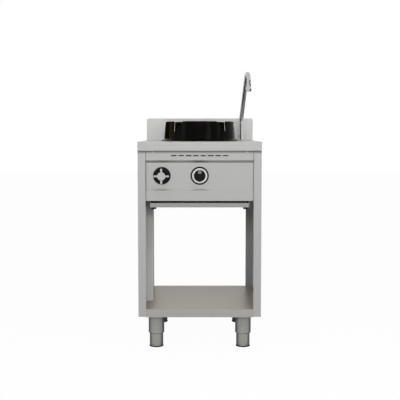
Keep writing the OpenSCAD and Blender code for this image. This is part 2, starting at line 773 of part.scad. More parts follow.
module burner_body() color("dimgray") placed() difference() {
    union() {
        translate([0, burner_y, 0]) funnel(0, 0);
        to_front(0, burner_y, control_z) mixer(0, 0);
        translate([0, burner_y, control_z]) sphere(r = mixer_ball_r);
        translate([0, burner_y, bridge_top_z])
            cylinder(r = foot_post_r, h = control_z - bridge_top_z - mixer_r + mixer_wall);
        block([-foot_plate_w / 2, burner_y - foot_plate_d / 2, bridge_top_z],
            [foot_plate_w / 2, burner_y + foot_plate_d / 2, bridge_top_z + foot_plate_t]);
        translate([0, burner_y, burner_seat_z - lug_drop]) rotate([0, 0, lug_start_deg])
            rotate_extrude(angle = lug_sweep_deg) translate([mixer_r, 0]) square([lug_r - mixer_r, lug_h]);
    }
    translate([0, burner_y, 0]) funnel(mixer_wall, cut);
    to_front(0, burner_y, control_z) mixer(mixer_wall, cut);
    translate([0, burner_y, control_z]) sphere(r = mixer_ball_r - mixer_wall);
    translate([0, burner_y, burner_seat_z - lug_drop - cut]) {
        translate(turned(pilot_ring_r, pilot_deg)) cylinder(r = pilot_pipe_r + fit, h = lug_h + 2 * cut);
        translate(turned(pilot_ring_r, probe_deg)) cylinder(r = probe_r + fit, h = lug_h + 2 * cut);
    }
}

// Burner head with slotted ports, set in the chamber's rim
module burner_head() color("darkgoldenrod") placed()
    translate([0, burner_y, burner_seat_z + seat_gap]) difference() {
        spigot_r = chamber_r - mixer_wall - fit;
        rotate_extrude() polygon([[spigot_r - head_wall, -head_spigot_l], [spigot_r, -head_spigot_l],
            [spigot_r, 0], [head_r, 0], [head_r, head_side_h], [head_top_r, head_side_h + head_top_h],
            [0, head_side_h + head_top_h], [0, head_side_h + head_top_h - head_roof_t],
            [spigot_r - head_wall, head_side_h - head_roof_t]]);
        for (i = [0 : port_count - 1]) rotate([0, 0, i * 360 / port_count])
            block([spigot_r - 2 * head_wall, -port_w / 2, port_rise],
                [head_r + cut, port_w / 2, port_rise + port_h]);
    }

// Injector held in front of the mixing tube's mouth
holder_y = mixer_mouth_y - holder_gap - holder_t;
injector_back_y = holder_y - injector_tail_l;

module injector_holder() color("silver") placed() {
    difference() {
        to_back(0, holder_y, control_z) cylinder(r = mouth_r, h = holder_t);
        to_back(0, holder_y - cut, control_z) cylinder(r = injector_r + fit, h = holder_t + 2 * cut);
    }
    for (s = [-1, 1]) translate([s * (mouth_r - holder_arm_w), 0, 0])
        block([-holder_arm_w / 2, holder_y + holder_t, control_z - holder_arm_w],
            [holder_arm_w / 2, mixer_mouth_y, control_z + holder_arm_w]);
}

module injector() color("goldenrod") placed() difference() {
    union() {
        to_back(0, injector_back_y, control_z)
            cylinder(r = injector_hex_r, h = injector_tail_l, $fn = hex_sides);
        to_back(0, holder_y, control_z) cylinder(r = injector_r, h = holder_t);
        to_back(0, holder_y + holder_t, control_z)
            cylinder(r1 = injector_r, r2 = injector_tip_r, h = injector_nose_l);
    }
    to_back(0, injector_back_y - cut, control_z) cylinder(r = tap_bore_r, h = injector_tail_l + holder_t);
    to_back(0, injector_back_y, control_z)
        cylinder(r = injector_bore_r, h = 2 * injector_tail_l + injector_nose_l);
}

// Pilot burner and thermocouple, held in the burner's lug
pilot_at = turned(pilot_ring_r, pilot_deg) + [0, burner_y];
probe_at = turned(pilot_ring_r, probe_deg) + [0, burner_y];
pilot_foot_z = burner_seat_z - lug_drop - pilot_bend_r;

module pilot_burner() color("goldenrod") placed()
    translate([pilot_at.x, pilot_at.y, pilot_foot_z]) difference() {
        union() {
            cylinder(r = pilot_pipe_r, h = pilot_stem_l);
            translate([0, 0, pilot_stem_l - pilot_hood_l]) cylinder(r = pilot_hood_r, h = pilot_hood_l);
        }
        translate([0, 0, -cut]) cylinder(r = pilot_pipe_r - pipe_wall, h = pilot_stem_l + 2 * cut);
    }

tap_back_y = panel_back_y + tap_l;
tap_pilot_y = panel_back_y + tap_l / 2;
tap_top_z = control_z + tap_r + tap_pilot_l;
pilot_level_z = pilot_foot_z - 2 * pilot_bend_r;

module pilot_pipe() color("peru") placed() pipe([[0, tap_pilot_y, tap_top_z],
    [0, tap_pilot_y, pilot_level_z], [pilot_at.x, tap_pilot_y, pilot_level_z],
    [pilot_at.x, pilot_at.y, pilot_level_z], [pilot_at.x, pilot_at.y, pilot_foot_z]],
    pilot_bend_r, pilot_pipe_r, pipe_wall);

magnet_y = panel_back_y + tap_magnet_back;
magnet_z = control_z - tap_r - tap_magnet_l;
lead_z = magnet_z - 2 * pilot_bend_r;
probe_z = burner_seat_z - lug_drop - 2 * pilot_bend_r;

module thermocouple() color("peru") placed() {
    rod_path([[0, magnet_y, magnet_z], [0, magnet_y, lead_z], [probe_at.x, magnet_y, lead_z],
        [probe_at.x, probe_at.y, lead_z], [probe_at.x, probe_at.y, probe_z]], pilot_bend_r, lead_r);
    translate([probe_at.x, probe_at.y, probe_z]) cylinder(r = probe_r, h = probe_l);
}

// Gas tap behind the panel, with a plug that turns and a spindle that slides in the plug
inlet_branch_y = panel_back_y + tap_inlet_back;

module gas_tap() color("goldenrod") placed() difference() {
    union() {
        to_back(0, panel_back_y, control_z) cylinder(r = tap_r, h = tap_l);
        to_front(0, panel_back_y, control_z) cylinder(r = tap_neck_r, h = sheet_t + tap_neck_l);
        to_back(0, tap_back_y, control_z) cylinder(r = tap_outlet_r, h = tap_outlet_l);
        translate([0, inlet_branch_y, control_z]) rotate([0, 90, 0])
            cylinder(r = tap_inlet_r, h = tap_inlet_x);
        translate([0, magnet_y, magnet_z]) cylinder(r = tap_magnet_r, h = tap_magnet_l + tap_r);
        translate([0, tap_pilot_y, control_z]) cylinder(r = tap_pilot_r, h = tap_r + tap_pilot_l);
    }
    to_back(0, panel_back_y + plug_back, control_z) cylinder(r = plug_r + fit, h = plug_l + fit);
    to_front(0, panel_back_y + plug_back + cut, control_z)
        cylinder(r = spindle_r + fit, h = plug_back + sheet_t + tap_neck_l + 2 * cut);
    to_back(0, tap_back_y - tap_r, control_z) cylinder(r = tap_bore_r, h = tap_outlet_l + tap_r + cut);
    translate([plug_r, inlet_branch_y, control_z]) rotate([0, 90, 0])
        cylinder(r = pipe_r - pipe_wall, h = tap_inlet_x - plug_r + cut);
}

module gas_tap_plug() color("goldenrod") placed() difference() {
    to_back(0, panel_back_y + plug_back + fit, control_z) cylinder(r = plug_r, h = plug_l - fit);
    to_back(0, panel_back_y + plug_back - cut, control_z)
        cylinder(r = spindle_r + fit, h = spindle_in_l + knob_push + 2 * cut);
    translate([-plug_r - cut, inlet_branch_y, control_z]) rotate([0, 90, 0])
        cylinder(r = tap_bore_r, h = 2 * (plug_r + cut));
}

knob_back_y = recess_y - bezel_t;
knob_face_y = knob_back_y - knob_depth;
spindle_end_y = panel_back_y + plug_back + spindle_in_l;

module gas_spindle() color("silver") placed() to_front(0, spindle_end_y, control_z)
    cylinder(r = spindle_r, h = spindle_end_y - knob_face_y - knob_wall);

// Gas knob: a hollow skirt with a hub for the spindle, and a grip bar with a sloped pointer end
grip_top = knob_r * grip_top_share;
grip_front_y = knob_face_y - grip_h;

module grip_side() polygon([[knob_face_y, grip_top], [knob_face_y + knob_edge, grip_top],
    [knob_face_y + knob_edge, -knob_r], [knob_face_y, -knob_r - grip_tail],
    [grip_front_y, -knob_r], [grip_front_y, knob_r * grip_slope_share]]);

module grip_outline() polygon([[-grip_w / 2, grip_top], [grip_w / 2, grip_top],
    [grip_w / 2, -knob_r * grip_tip_share], [0, -knob_r - grip_tail],
    [-grip_w / 2, -knob_r * grip_tip_share]]);

module gas_knob() color([0.09, 0.09, 0.1]) placed() translate([0, 0, control_z]) {
    to_front(0, knob_back_y, 0) difference() {
        rotate_extrude() polygon([[0, 0], [knob_r, 0], [knob_r - knob_taper, knob_depth - knob_edge],
            [knob_r - knob_taper - knob_edge, knob_depth], [0, knob_depth]]);
        translate([0, 0, -cut]) difference() {
            cylinder(r = knob_r - knob_taper - knob_wall, h = knob_depth - knob_wall + cut);
            translate([0, 0, knob_push + nut_t + cut]) cylinder(r = knob_hub_r, h = knob_depth);
        }
        translate([0, 0, -cut]) cylinder(r = spindle_r + fit, h = knob_depth - knob_wall + cut);
    }
    intersection() {
        along_x(grip_w) grip_side();
        along_y(grip_front_y - cut, knob_face_y + 2 * knob_edge) grip_outline();
    }
}

module knob_bezel() color("black") placed() to_front(0, recess_y, control_z) rotate_extrude()
    polygon([[knob_r + knob_gap, 0], [bezel_r, 0], [bezel_r, bezel_t - bezel_chamfer],
        [bezel_r - bezel_chamfer, bezel_t], [knob_r + knob_gap, bezel_t]]);

module dial_ring() color("silver") placed() to_front(0, knob_back_y, control_z) difference() {
    cylinder(r = dial_r, h = dial_t);
    translate([0, 0, -cut]) cylinder(r = knob_r + knob_gap, h = dial_t + 2 * cut);
}

// Nuts that clamp the two taps to the panel
module panel_nut(x, r, bore_r) to_front(x, recess_y, control_z) difference() {
    cylinder(r = r, h = nut_t, $fn = hex_sides);
    translate([0, 0, -cut]) cylinder(r = bore_r + fit, h = nut_t + 2 * cut);
}

module panel_nuts() color("silver") placed() {
    panel_nut(0, gas_nut_r, tap_neck_r);
    panel_nut(-water_x, water_nut_r, bonnet_r);
}

// Gas pipes
module gas_feed_pipe() color("peru") placed()
    pipe([[0, tap_back_y + tap_outlet_l, control_z], [0, injector_back_y, control_z]],
        pipe_bend_r, pipe_r, pipe_wall);

gas_inlet_in_y = cabinet_back_y - inlet_neck_l;

module gas_supply_pipe() color("peru") placed() pipe([[gas_inlet_x, gas_inlet_in_y, control_z],
    [gas_inlet_x, inlet_branch_y, control_z], [tap_inlet_x, inlet_branch_y, control_z]],
    pipe_bend_r, pipe_r, pipe_wall);

// Threaded inlet fitting: a neck through the sheet, a hexagon against it and a male thread
module inlet_fitting() difference() {
    union() {
        translate([0, 0, -inlet_neck_l - sheet_t]) cylinder(r = inlet_neck_r, h = inlet_neck_l + sheet_t);
        cylinder(r = inlet_hex_r, h = inlet_hex_l, $fn = hex_sides);
        translate([0, 0, inlet_hex_l]) cylinder(r = thread_r, h = thread_l);
    }
    translate([0, 0, -inlet_neck_l - sheet_t - cut])
        cylinder(r = inlet_bore_r, h = inlet_neck_l + sheet_t + inlet_hex_l + thread_l + 2 * cut);
}

module gas_inlet() color("goldenrod") placed()
    to_back(gas_inlet_x, cabinet_back_y + sheet_t, control_z) inlet_fitting();

// Water tap with ports above and below, and a bonnet through the panel
valve_port_y = panel_back_y + valve_port_back;
bonnet_front_y = recess_y - handle_standoff + bonnet_gap;
handle_back_y = bonnet_front_y + handle_skirt;
handle_l = handle_back_y - handle_front_y;

module water_valve() color("goldenrod") placed() translate([-water_x, 0, control_z]) difference() {
    union() {
        to_back(0, panel_back_y, 0) cylinder(r = valve_r, h = valve_l);
        to_front(0, panel_back_y, 0) cylinder(r = bonnet_r, h = panel_back_y - bonnet_front_y);
        translate([0, valve_port_y, -valve_r - valve_port_l])
            cylinder(r = valve_port_r, h = 2 * (valve_r + valve_port_l));
    }
    to_front(0, valve_port_y, 0) cylinder(r = spindle_r + fit, h = valve_port_y - bonnet_front_y + cut);
    for (s = [-1, 1]) translate([0, valve_port_y, s * (valve_r + valve_port_l / 2)])
        cylinder(r = pipe_r - pipe_wall, h = valve_port_l + 2 * cut, center = true);
}

module valve_spindle() color("silver") placed() to_front(-water_x, panel_back_y, control_z)
    cylinder(r = spindle_r, h = panel_back_y - handle_front_y - handle_dome_h - 2 * handle_edge);

// Cross handle: a turned hub with a domed front, and four arms with round ends
module handle_arms() for (i = [0 : 3]) rotate([0, 0, i * 90]) rotate([0, 90, 0]) {
    cylinder(r1 = arm_root_r, r2 = arm_tip_r, h = handle_arm - arm_tip_r);
    translate([0, 0, handle_arm - arm_tip_r]) sphere(r = arm_tip_r);
}

module cross_handle() color("gainsboro") placed()
    to_front(-water_x, handle_back_y, control_z) difference() {
        union() {
            rotate_extrude() polygon([[0, 0], [handle_hub_r - handle_edge, 0], [handle_hub_r, handle_edge],
                [handle_hub_r, handle_l - handle_dome_h - handle_edge],
                [handle_hub_r - handle_edge, handle_l - handle_dome_h],
                [handle_dome_r, handle_l - handle_edge], [handle_dome_r - handle_edge, handle_l],
                [0, handle_l]]);
            translate([0, 0, handle_l - arm_back]) handle_arms();
        }
        translate([0, 0, -cut]) cylinder(r = bonnet_r + sheet_gap, h = handle_skirt + sheet_gap + cut);
        translate([0, 0, -cut])
            cylinder(r = spindle_r + fit, h = handle_l - handle_dome_h - 2 * handle_edge + cut);
    }

module valve_escutcheon() color("black") placed() to_front(-water_x, recess_y, control_z) rotate_extrude()
    polygon([[escutcheon_r, 0], [escutcheon_r, escutcheon_edge], [escutcheon_crown_r, escutcheon_h],
        [bonnet_r + sheet_gap, escutcheon_h], [bonnet_r + sheet_gap, escutcheon_h - sheet_t],
        [escutcheon_crown_r - sheet_t, escutcheon_h - sheet_t], [escutcheon_r - 2 * sheet_t, 0]]);

// Water pipes: one up the duct to the tap, one from the tap to the faucet
supply_level_z = duct_top_z + pipe_bend_r;
riser_level_z = worktop_z - sheet_t - shank_l - pipe_bend_r - riser_end_l;

module water_supply_pipe() color("peru") placed() pipe([
    [-water_x, valve_port_y, control_z - valve_r - valve_port_l], [-water_x, valve_port_y, supply_level_z],
    [-water_x, inlet_y, supply_level_z], [-inlet_x, inlet_y, supply_level_z],
    [-inlet_x, inlet_y, shelf_z + inlet_neck_l]], pipe_bend_r, pipe_r, pipe_wall);

module water_inlet() color("goldenrod") placed()
    translate([-inlet_x, inlet_y, shelf_z - sheet_t]) rotate([180, 0, 0]) inlet_fitting();

module water_riser_pipe() color("peru") placed() pipe([
    [-water_x, valve_port_y, control_z + valve_r + valve_port_l], [-water_x, valve_port_y, riser_level_z],
    [-water_x, faucet_y, riser_level_z], [faucet_x, faucet_y, riser_level_z],
    [faucet_x, faucet_y, worktop_z - sheet_t - shank_l]], pipe_bend_r, pipe_r, pipe_wall);

// Faucet on the worktop
module on_faucet() translate([faucet_x, faucet_y, worktop_z]) children();

module faucet_base() color("gainsboro") placed() on_faucet() rotate_extrude()
    polygon([[inlet_bore_r, -sheet_t - shank_l], [shank_r, -sheet_t - shank_l], [shank_r, 0],
        [faucet_flange_r, 0], [faucet_flange_r, faucet_flange_h],
        [faucet_body_r, faucet_flange_h + faucet_flange_h / 2], [faucet_body_r, faucet_body_h],
        [spout_r + fit, faucet_body_h], [spout_r + fit, spout_seat_h - seat_gap],
        [inlet_bore_r, spout_seat_h - seat_gap]]);

module faucet_nut() color("silver") placed() on_faucet()
    translate([0, 0, -sheet_t - faucet_nut_h]) difference() {
        cylinder(r = faucet_nut_r, h = faucet_nut_h, $fn = hex_sides);
        translate([0, 0, -cut]) cylinder(r = shank_r + fit, h = faucet_nut_h + 2 * cut);
    }

module swivel_nut() color("gainsboro") placed() on_faucet() translate([0, 0, faucet_body_h]) difference() {
    cylinder(r = swivel_nut_r, h = swivel_nut_h);
    translate([0, 0, -cut]) cylinder(r = spout_r + fit, h = swivel_nut_h + 2 * cut);
}

// The spout lies in one upright plane: up, then leaning forward, then over the hook and down.
// The lean is the one that meets the hook's arc at a tangent below the hook's top.
lean_run = spout_reach - hook_r;
lean_rise = spout_h - spout_r - spout_bend_h - hook_r;
lean_deg = acos(hook_r / norm([lean_run, lean_rise])) - atan2(lean_rise, lean_run);
hook_corner_h = spout_bend_h + spout_reach / tan(lean_deg);
outlet_h = spout_h - spout_r - hook_r - hook_drop;
function spout_point(reach, h) = [reach * sin(spout_turn), -reach * cos(spout_turn), h];

module spout_solid(r, over) rod_path([spout_point(0, spout_seat_h - over), spout_point(0, spout_bend_h),
    spout_point(spout_reach, hook_corner_h), spout_point(spout_reach, outlet_h - over)],
    [0, spout_corner_r, hook_r, 0], r);

module spout() color("gainsboro") placed() on_faucet() difference() {
    spout_solid(spout_r, 0);
    spout_solid(spout_r - spout_wall, cut);
}

module aerator() color("gainsboro") placed() on_faucet()
    translate(spout_point(spout_reach, outlet_h)) rotate_extrude()
        polygon([[spout_r + fit, aerator_overlap], [aerator_neck_r, aerator_overlap],
            [aerator_neck_r, aerator_overlap - aerator_neck_l],
            [aerator_r, aerator_overlap - 2 * aerator_neck_l], [aerator_r, aerator_overlap - aerator_l],
            [spout_r - spout_wall, aerator_overlap - aerator_l], [spout_r - spout_wall, 0],
            [spout_r + fit, 0]]);

// Wok ring: a flanged, tapering wall cut into teeth by round-bottomed notches that lean to the rear
function arc_points(at, r, from_deg, to_deg) = [for (i = [0 : arc_steps])
    at + turned(r, from_deg + (to_deg - from_deg) * i / arc_steps)];

module ring_section() {
    rim_r = ring_wall / 2;
    polygon(concat([[ring_foot_r - ring_wall - ring_inner_foot, 0], [ring_base_r, 0],
        [ring_base_r, ring_flange_edge_t]],
        arc_points([ring_foot_r + ring_fillet_r, ring_flange_t + ring_fillet_r], ring_fillet_r, 270, 180),
        arc_points([ring_rim_r - rim_r, ring_h - rim_r], rim_r, 0, 180),
        [[ring_foot_r - ring_wall, ring_flange_t]]));
}

module notch_outline(lean) {
    floor_r = notch_floor_w / 2;
    rim_x = notch_rim_w / 2;
    polygon(concat(arc_points([lean, notch_floor_h + floor_r], floor_r, 180, 360),
        [[rim_x, ring_h - notch_corner], [rim_x + notch_corner + cut, ring_h + cut],
        [-rim_x - notch_corner - cut, ring_h + cut], [-rim_x, ring_h - notch_corner]]));
}

module ring_notch(deg, lean) rotate([0, 0, deg])
    along_y(-ring_base_r, 2 * ring_wall - ring_rim_r) notch_outline(lean);

module wok_ring() color([0.06, 0.06, 0.065]) placed()
    translate([0, burner_y, worktop_z + seat_gap]) difference() {
        rotate_extrude() ring_section();
        for (side = [-1, 1], deg = notch_degs) ring_notch(side * deg, side * notch_lean);
        ring_notch(rear_notch_deg, 0);
    }

worktop();
upstand();
left_side_panel();
right_side_panel();
front_panel();
fascia_screws();
bottom_shelf();
rear_panel();
service_duct();
left_leg_bearer();
right_leg_bearer();
leg(leg_at[0]);  // leg_front_left
leg(leg_at[1]);  // leg_front_right
leg(leg_at[2]);  // leg_rear_left
leg(leg_at[3]);  // leg_rear_right
leg_bolts();
foot(leg_at[0]);  // foot_front_left
foot(leg_at[1]);  // foot_front_right
foot(leg_at[2]);  // foot_rear_left
foot(leg_at[3]);  // foot_rear_right
foot_ring(leg_at[0]);  // foot_ring_front_left
foot_ring(leg_at[1]);  // foot_ring_front_right
foot_ring(leg_at[2]);  // foot_ring_rear_left
foot_ring(leg_at[3]);  // foot_ring_rear_right
left_tray_runner();
right_tray_runner();
drip_tray();
spill_bowl();
burner_bridge();
burner_body();
burner_head();
injector_holder();
injector();
pilot_burner();
pilot_pipe();
thermocouple();
gas_tap();
gas_tap_plug();
gas_spindle();
gas_knob();
knob_bezel();
dial_ring();
panel_nuts();
gas_feed_pipe();
gas_supply_pipe();
gas_inlet();
water_valve();
valve_spindle();
cross_handle();
valve_escutcheon();
water_supply_pipe();
water_inlet();
water_riser_pipe();
faucet_base();
faucet_nut();
swivel_nut();
spout();
aerator();
wok_ring();
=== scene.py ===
"""Looks of a free-standing gas wok range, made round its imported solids."""

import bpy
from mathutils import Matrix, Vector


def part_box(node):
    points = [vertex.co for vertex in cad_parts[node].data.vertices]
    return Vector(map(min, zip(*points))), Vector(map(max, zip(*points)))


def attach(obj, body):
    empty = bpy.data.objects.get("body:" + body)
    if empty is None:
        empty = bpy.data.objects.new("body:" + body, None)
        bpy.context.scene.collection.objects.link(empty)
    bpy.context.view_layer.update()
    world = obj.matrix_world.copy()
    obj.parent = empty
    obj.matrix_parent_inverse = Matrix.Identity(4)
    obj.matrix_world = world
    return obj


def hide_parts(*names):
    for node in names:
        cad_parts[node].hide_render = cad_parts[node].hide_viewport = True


bl_info = {
    "name": "Wok Range Looks",
    "version": (1, 0, 0),
    "blender": (4, 5, 0),
    "location": "3D View > Sidebar > Wok Range",
    "description": "Finishes, small fittings and a plain stage for a gas wok range",
    "category": "Object",
}

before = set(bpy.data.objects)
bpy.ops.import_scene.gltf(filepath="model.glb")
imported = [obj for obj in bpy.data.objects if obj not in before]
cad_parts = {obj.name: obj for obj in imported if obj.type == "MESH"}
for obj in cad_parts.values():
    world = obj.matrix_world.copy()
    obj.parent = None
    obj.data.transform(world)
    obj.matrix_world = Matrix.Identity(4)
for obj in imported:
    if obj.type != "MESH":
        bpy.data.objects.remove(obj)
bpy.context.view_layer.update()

import math

import bmesh
import bpy
from bpy.props import FloatProperty, FloatVectorProperty, PointerProperty
from mathutils import Matrix, Vector

MM = 0.001
TURN = 2 * math.pi
# How near to a plane a corner lies in it
TOUCH = 0.1 * MM

# The CAD nodes by finish
WORKTOP = ("worktop",)
UPSTAND = ("upstand",)
SIDE_PANELS = ("left_side_panel", "right_side_panel")
DUCT = ("service_duct",)
FRONT_PANEL = ("front_panel",)
REAR_PANEL = ("rear_panel",)
SHELF = ("bottom_shelf", "left_leg_bearer", "right_leg_bearer")
RUNNERS = ("left_tray_runner", "right_tray_runner")
TRAY = ("drip_tray",)
HEATED = ("spill_bowl", "burner_bridge")
CORNERS = ("front_left", "front_right", "rear_left", "rear_right")
SLEEVES = tuple("leg_" + corner for corner in CORNERS)
FEET = tuple("foot_" + corner for corner in CORNERS)
FOOT_RINGS = tuple("foot_ring_" + corner for corner in CORNERS)
FASTENERS = ("leg_bolts", "panel_nuts", "faucet_nut", "injector_holder", "gas_spindle",
             "valve_spindle")
BRASS = ("injector", "pilot_burner", "gas_tap", "gas_tap_plug", "water_valve")
COPPER = ("pilot_pipe", "thermocouple", "gas_feed_pipe", "gas_supply_pipe",
          "water_supply_pipe", "water_riser_pipe")
FAUCET = ("faucet_base", "swivel_nut", "spout", "aerator")


# Settings

def colour_setting(name, description, default):
    return FloatVectorProperty(name=name, description=description, default=default,
                               subtype="COLOR", size=3, min=0, max=1)


def length_setting(name, description, default):
    return FloatProperty(name=name, description=description, default=default,
                         unit="LENGTH", min=0)


def share_setting(name, description, default):
    return FloatProperty(name=name, description=description, default=default,
                         subtype="FACTOR", min=0, max=1)


def level_setting(name, description, default):
    return FloatProperty(name=name, description=description, default=default, min=0)


def power_setting(name, description, default):
    return FloatProperty(name=name, description=description, default=default,
                         unit="POWER", min=0)


class SteelSettings(bpy.types.PropertyGroup):
    """Sheet and tube steel"""
    # The sheet is one steel, but the worktop, upstand, panels, sides, duct, shelf and tray each get
    # a lighter or darker copy of its colour, set to the light that falls on each: painted light and
    # shade
    worktop_colour: colour_setting("Worktop", "Colour of the worktop", (0.495, 0.495, 0.485))
    upstand_colour: colour_setting("Upstand", "Colour of the upstand", (0.635, 0.635, 0.625))
    panel_colour: colour_setting("Panels", "Colour of the folded panels", (0.47, 0.47, 0.46))
    # Slopes and faces that look up get a lighter colour, those that look down a darker one: painted
    # light and painted shade
    up_slope_painted_light: colour_setting(
        "Upper slope", "Colour of slopes that face up", (0.64, 0.64, 0.63))
    down_slope_painted_shade: colour_setting(
        "Under slope", "Colour of slopes that face down", (0.34, 0.335, 0.32))
    side_colour: colour_setting("Sides", "Colour of the side panels", (0.515, 0.515, 0.505))
    # The duct is set lightest, for the light that reaches into the bay: painted light
    duct_painted_light: colour_setting("Duct", "Colour of the duct", (0.66, 0.66, 0.65))
    shelf_colour: colour_setting(
        "Shelf", "Colour of the shelf's lip and of hidden sheet", (0.47, 0.465, 0.45))
    # The shelf's faces that look up get this darker, warmer colour: painted shade by facing
    shelf_top_shade_colour: colour_setting(
        "Shelf top", "Colour of the upturned top of the shelf", (0.435, 0.392, 0.33))
    # The runners and their caps are near black to stand for the shade in their channels: painted
    # shade
    runner_shade_colour: colour_setting(
        "Runners", "Colour of the tray's shadowed runners", (0.020, 0.020, 0.020))
    tray_colour: colour_setting("Tray", "Colour of the drip tray", (0.37, 0.37, 0.36))
    # Heat darkens the sheet next to the flame; the same dark is also painted on the rear panel's
    # inside as painted shade
    heat_and_shade_colour: colour_setting(
        "Heated sheet", "Colour of the sheet next to the flame", (0.030, 0.028, 0.026))
    leg_colour: colour_setting("Legs", "Colour of the leg tubes", (0.36, 0.355, 0.34))
    fastener_colour: colour_setting("Fasteners", "Colour of bolts and nuts", (0.52, 0.52, 0.53))
    roughness: share_setting("Roughness", "Roughness of the ground front and worktop", 0.3)
    metal: share_setting("Metal", "Share of the light that the worktop mirrors", 0.55)
    front_metal: share_setting("Front metal", "Share of the light that the front mirrors", 0.5)
    gloss: share_setting("Gloss", "Gloss of the front, worktop and sides", 0.4)
    side_roughness: share_setting("Side roughness", "Roughness of the side panels", 0.42)
    side_metal: share_setting("Side metal", "Share of the light that the side panels mirror", 0.12)
    dull_roughness: share_setting(
        "Dull roughness", "Roughness of the duct and of heated sheet", 0.5)
    dull_metal: share_setting("Dull metal", "Share of the light that heated sheet mirrors", 0.08)
    dull_gloss: share_setting("Dull gloss", "Gloss of the shelf, duct and legs", 0.1)
    shelf_roughness: share_setting("Shelf roughness", "Roughness of the shelf", 0.35)
    shelf_metal: share_setting("Shelf metal", "Share of the light that the shelf mirrors", 0.25)
    duct_metal: share_setting("Duct metal", "Share of the light that the duct mirrors", 0.1)
    leg_roughness: share_setting("Leg roughness", "Roughness of the legs", 0.38)
    leg_metal: share_setting("Leg metal", "Share of the light that the legs mirror", 0.5)
    fold_radius: length_setting("Fold radius", "Radius left on folded edges", 0.55 * MM)
    grain_depth: length_setting("Grain depth", "Depth of the satin grain", 0.002 * MM)
    # Reaches of painted shade: a dark band under the worktop's edge and beside the posts
    apron_painted_shade: length_setting("Apron grime", "Reach of the grime under the worktop", 15 * MM)
    post_painted_shade: length_setting("Post grime", "Reach of the grime beside the posts", 7 * MM)


class CastingSettings(bpy.types.PropertyGroup):
    """Castings"""
    enamel_colour: colour_setting(
        "Enamel", "Colour of the ring's enamel", (0.0024, 0.0022, 0.0020))
    # Heat tints the rim; the same tint also paints a reflection as a streak on the left of the ring
    heat_and_reflection_colour: colour_setting(
        "Heat tint", "Tint of the enamel where it was hot", (0.024, 0.014, 0.004))
    run_colour: colour_setting("Runs", "Colour of the runs in the enamel", (0.011, 0.0105, 0.010))
    iron_colour: colour_setting("Iron", "Colour of the raw casting", (0.032, 0.032, 0.033))
    rust_colour: colour_setting("Rust", "Colour of light rust on raw iron", (0.055, 0.028, 0.016))
    edge_radius: length_setting("Edge radius", "Radius left on cast edges", 1.2 * MM)


class FittingSettings(bpy.types.PropertyGroup):
    """Taps, faucet and pipes"""
    chrome_colour: colour_setting("Chrome", "Colour of polished chrome", (0.48, 0.48, 0.485))
    knob_colour: colour_setting("Knob", "Colour of the gas knob", (0.006, 0.006, 0.0055))
    bezel_colour: colour_setting(
        "Bezel", "Colour of the bezel and escutcheon", (0.005, 0.005, 0.0045))
    dial_colour: colour_setting("Dial", "Colour of the spun dial ring", (0.70, 0.70, 0.69))
    # Inside the inner radius the dial is dark as painted shade round the knob; outside the outer
    # radius is the dial's own black band
    dial_inner_r: length_setting(
        "Dial inside", "Inner radius of the dial's silver band", 23.7 * MM)
    dial_outer_r: length_setting(
        "Dial outside", "Outer radius of the dial's silver band", 30.3 * MM)
    # The pointer plate's light grey is a painted highlight on the grip's sloped end
    pointer_highlight_colour: colour_setting(
        "Pointer", "Colour of the plate in the knob's grip", (0.30, 0.30, 0.295))
    mark_colour: colour_setting("Dial mark", "Colour of the mark on the dial", (0.02, 0.02, 0.02))
    brass_colour: colour_setting("Brass", "Colour of turned brass", (0.58, 0.40, 0.16))
    copper_colour: colour_setting("Copper", "Colour of drawn copper", (0.56, 0.27, 0.17))
    rubber_colour: colour_setting(
        "Foot rings", "Colour of the rings under the feet", (0.012, 0.012, 0.012))
    thread_pitch: length_setting("Thread pitch", "Pitch of the inlet threads", 1.814 * MM)
    thread_depth: length_setting("Thread depth", "Depth of the inlet threads", 1.16 * MM)


class StageSettings(bpy.types.PropertyGroup):
    """Floor, light and camera"""
    floor_colour: colour_setting("Floor", "Colour of the floor", (0.90, 0.90, 0.90))
    sky: level_setting("Light from above", "Light of the room overhead", 0.42)
    ground: level_setting("Light from below", "Light of the room underneath", 0.08)
    front_power: power_setting("Front lamp", "Power of the low lamp in front", 20)
    top_power: power_setting("Top lamp", "Power of the high lamp in front", 12)
    strip_power: power_setting("Side lamps", "Power of each narrow lamp at the side", 1.5)
    camera_place: FloatVectorProperty(
        name="Camera", description="Place of the camera", subtype="TRANSLATION",
        unit="LENGTH", default=(0.00125, -3.74269, 0.88774))
    camera_tilt: FloatProperty(
        name="Tilt", description="Tilt of the camera from straight down",
        unit="ROTATION", default=math.radians(85.477))
    camera_lens: FloatProperty(
        name="Lens", description="Focal length in millimetres", default=77.12, min=1)


class WokRangeSettings(bpy.types.PropertyGroup):
    """All settings of the wok range"""
    steel: PointerProperty(type=SteelSettings)
    casting: PointerProperty(type=CastingSettings)
    fitting: PointerProperty(type=FittingSettings)
    stage: PointerProperty(type=StageSettings)


# Node trees

class Reading:
    """A number in a node tree. Sums with it add Math nodes."""

    def __init__(self, board, socket):
        self.board = board
        self.socket = socket

    def __add__(self, other):
        return self.board.sum("ADD", self, other)

    __radd__ = __add__

    def __mul__(self, other):
        return self.board.sum("MULTIPLY", self, other)

    __rmul__ = __mul__

    def __sub__(self, other):
        return self.board.sum("SUBTRACT", self, other)

    def __rsub__(self, other):
        return self.board.sum("SUBTRACT", other, self)

    def __abs__(self):
        return self.board.sum("ABSOLUTE", self, 0)

    def most(self, other):
        return self.board.sum("MAXIMUM", self, other)

    def swing(self, amount):
        """Noise about its middle, so many times over."""
        return (self - 0.5) * amount

    def between(self, low, high):
        """0 up to low, 1 from high on, smooth between them."""
        settings = {"interpolation_type": "SMOOTHSTEP"}
        sockets = {0: self, 1: low, 2: high}
        return self.board.node("ShaderNodeMapRange", settings, sockets).reading()


class Made:
    """A node that is in its tree."""

    def __init__(self, board, node):
        self.board = board
        self.node = node

    def reading(self, output=0):
        return Reading(self.board, self.node.outputs[output])


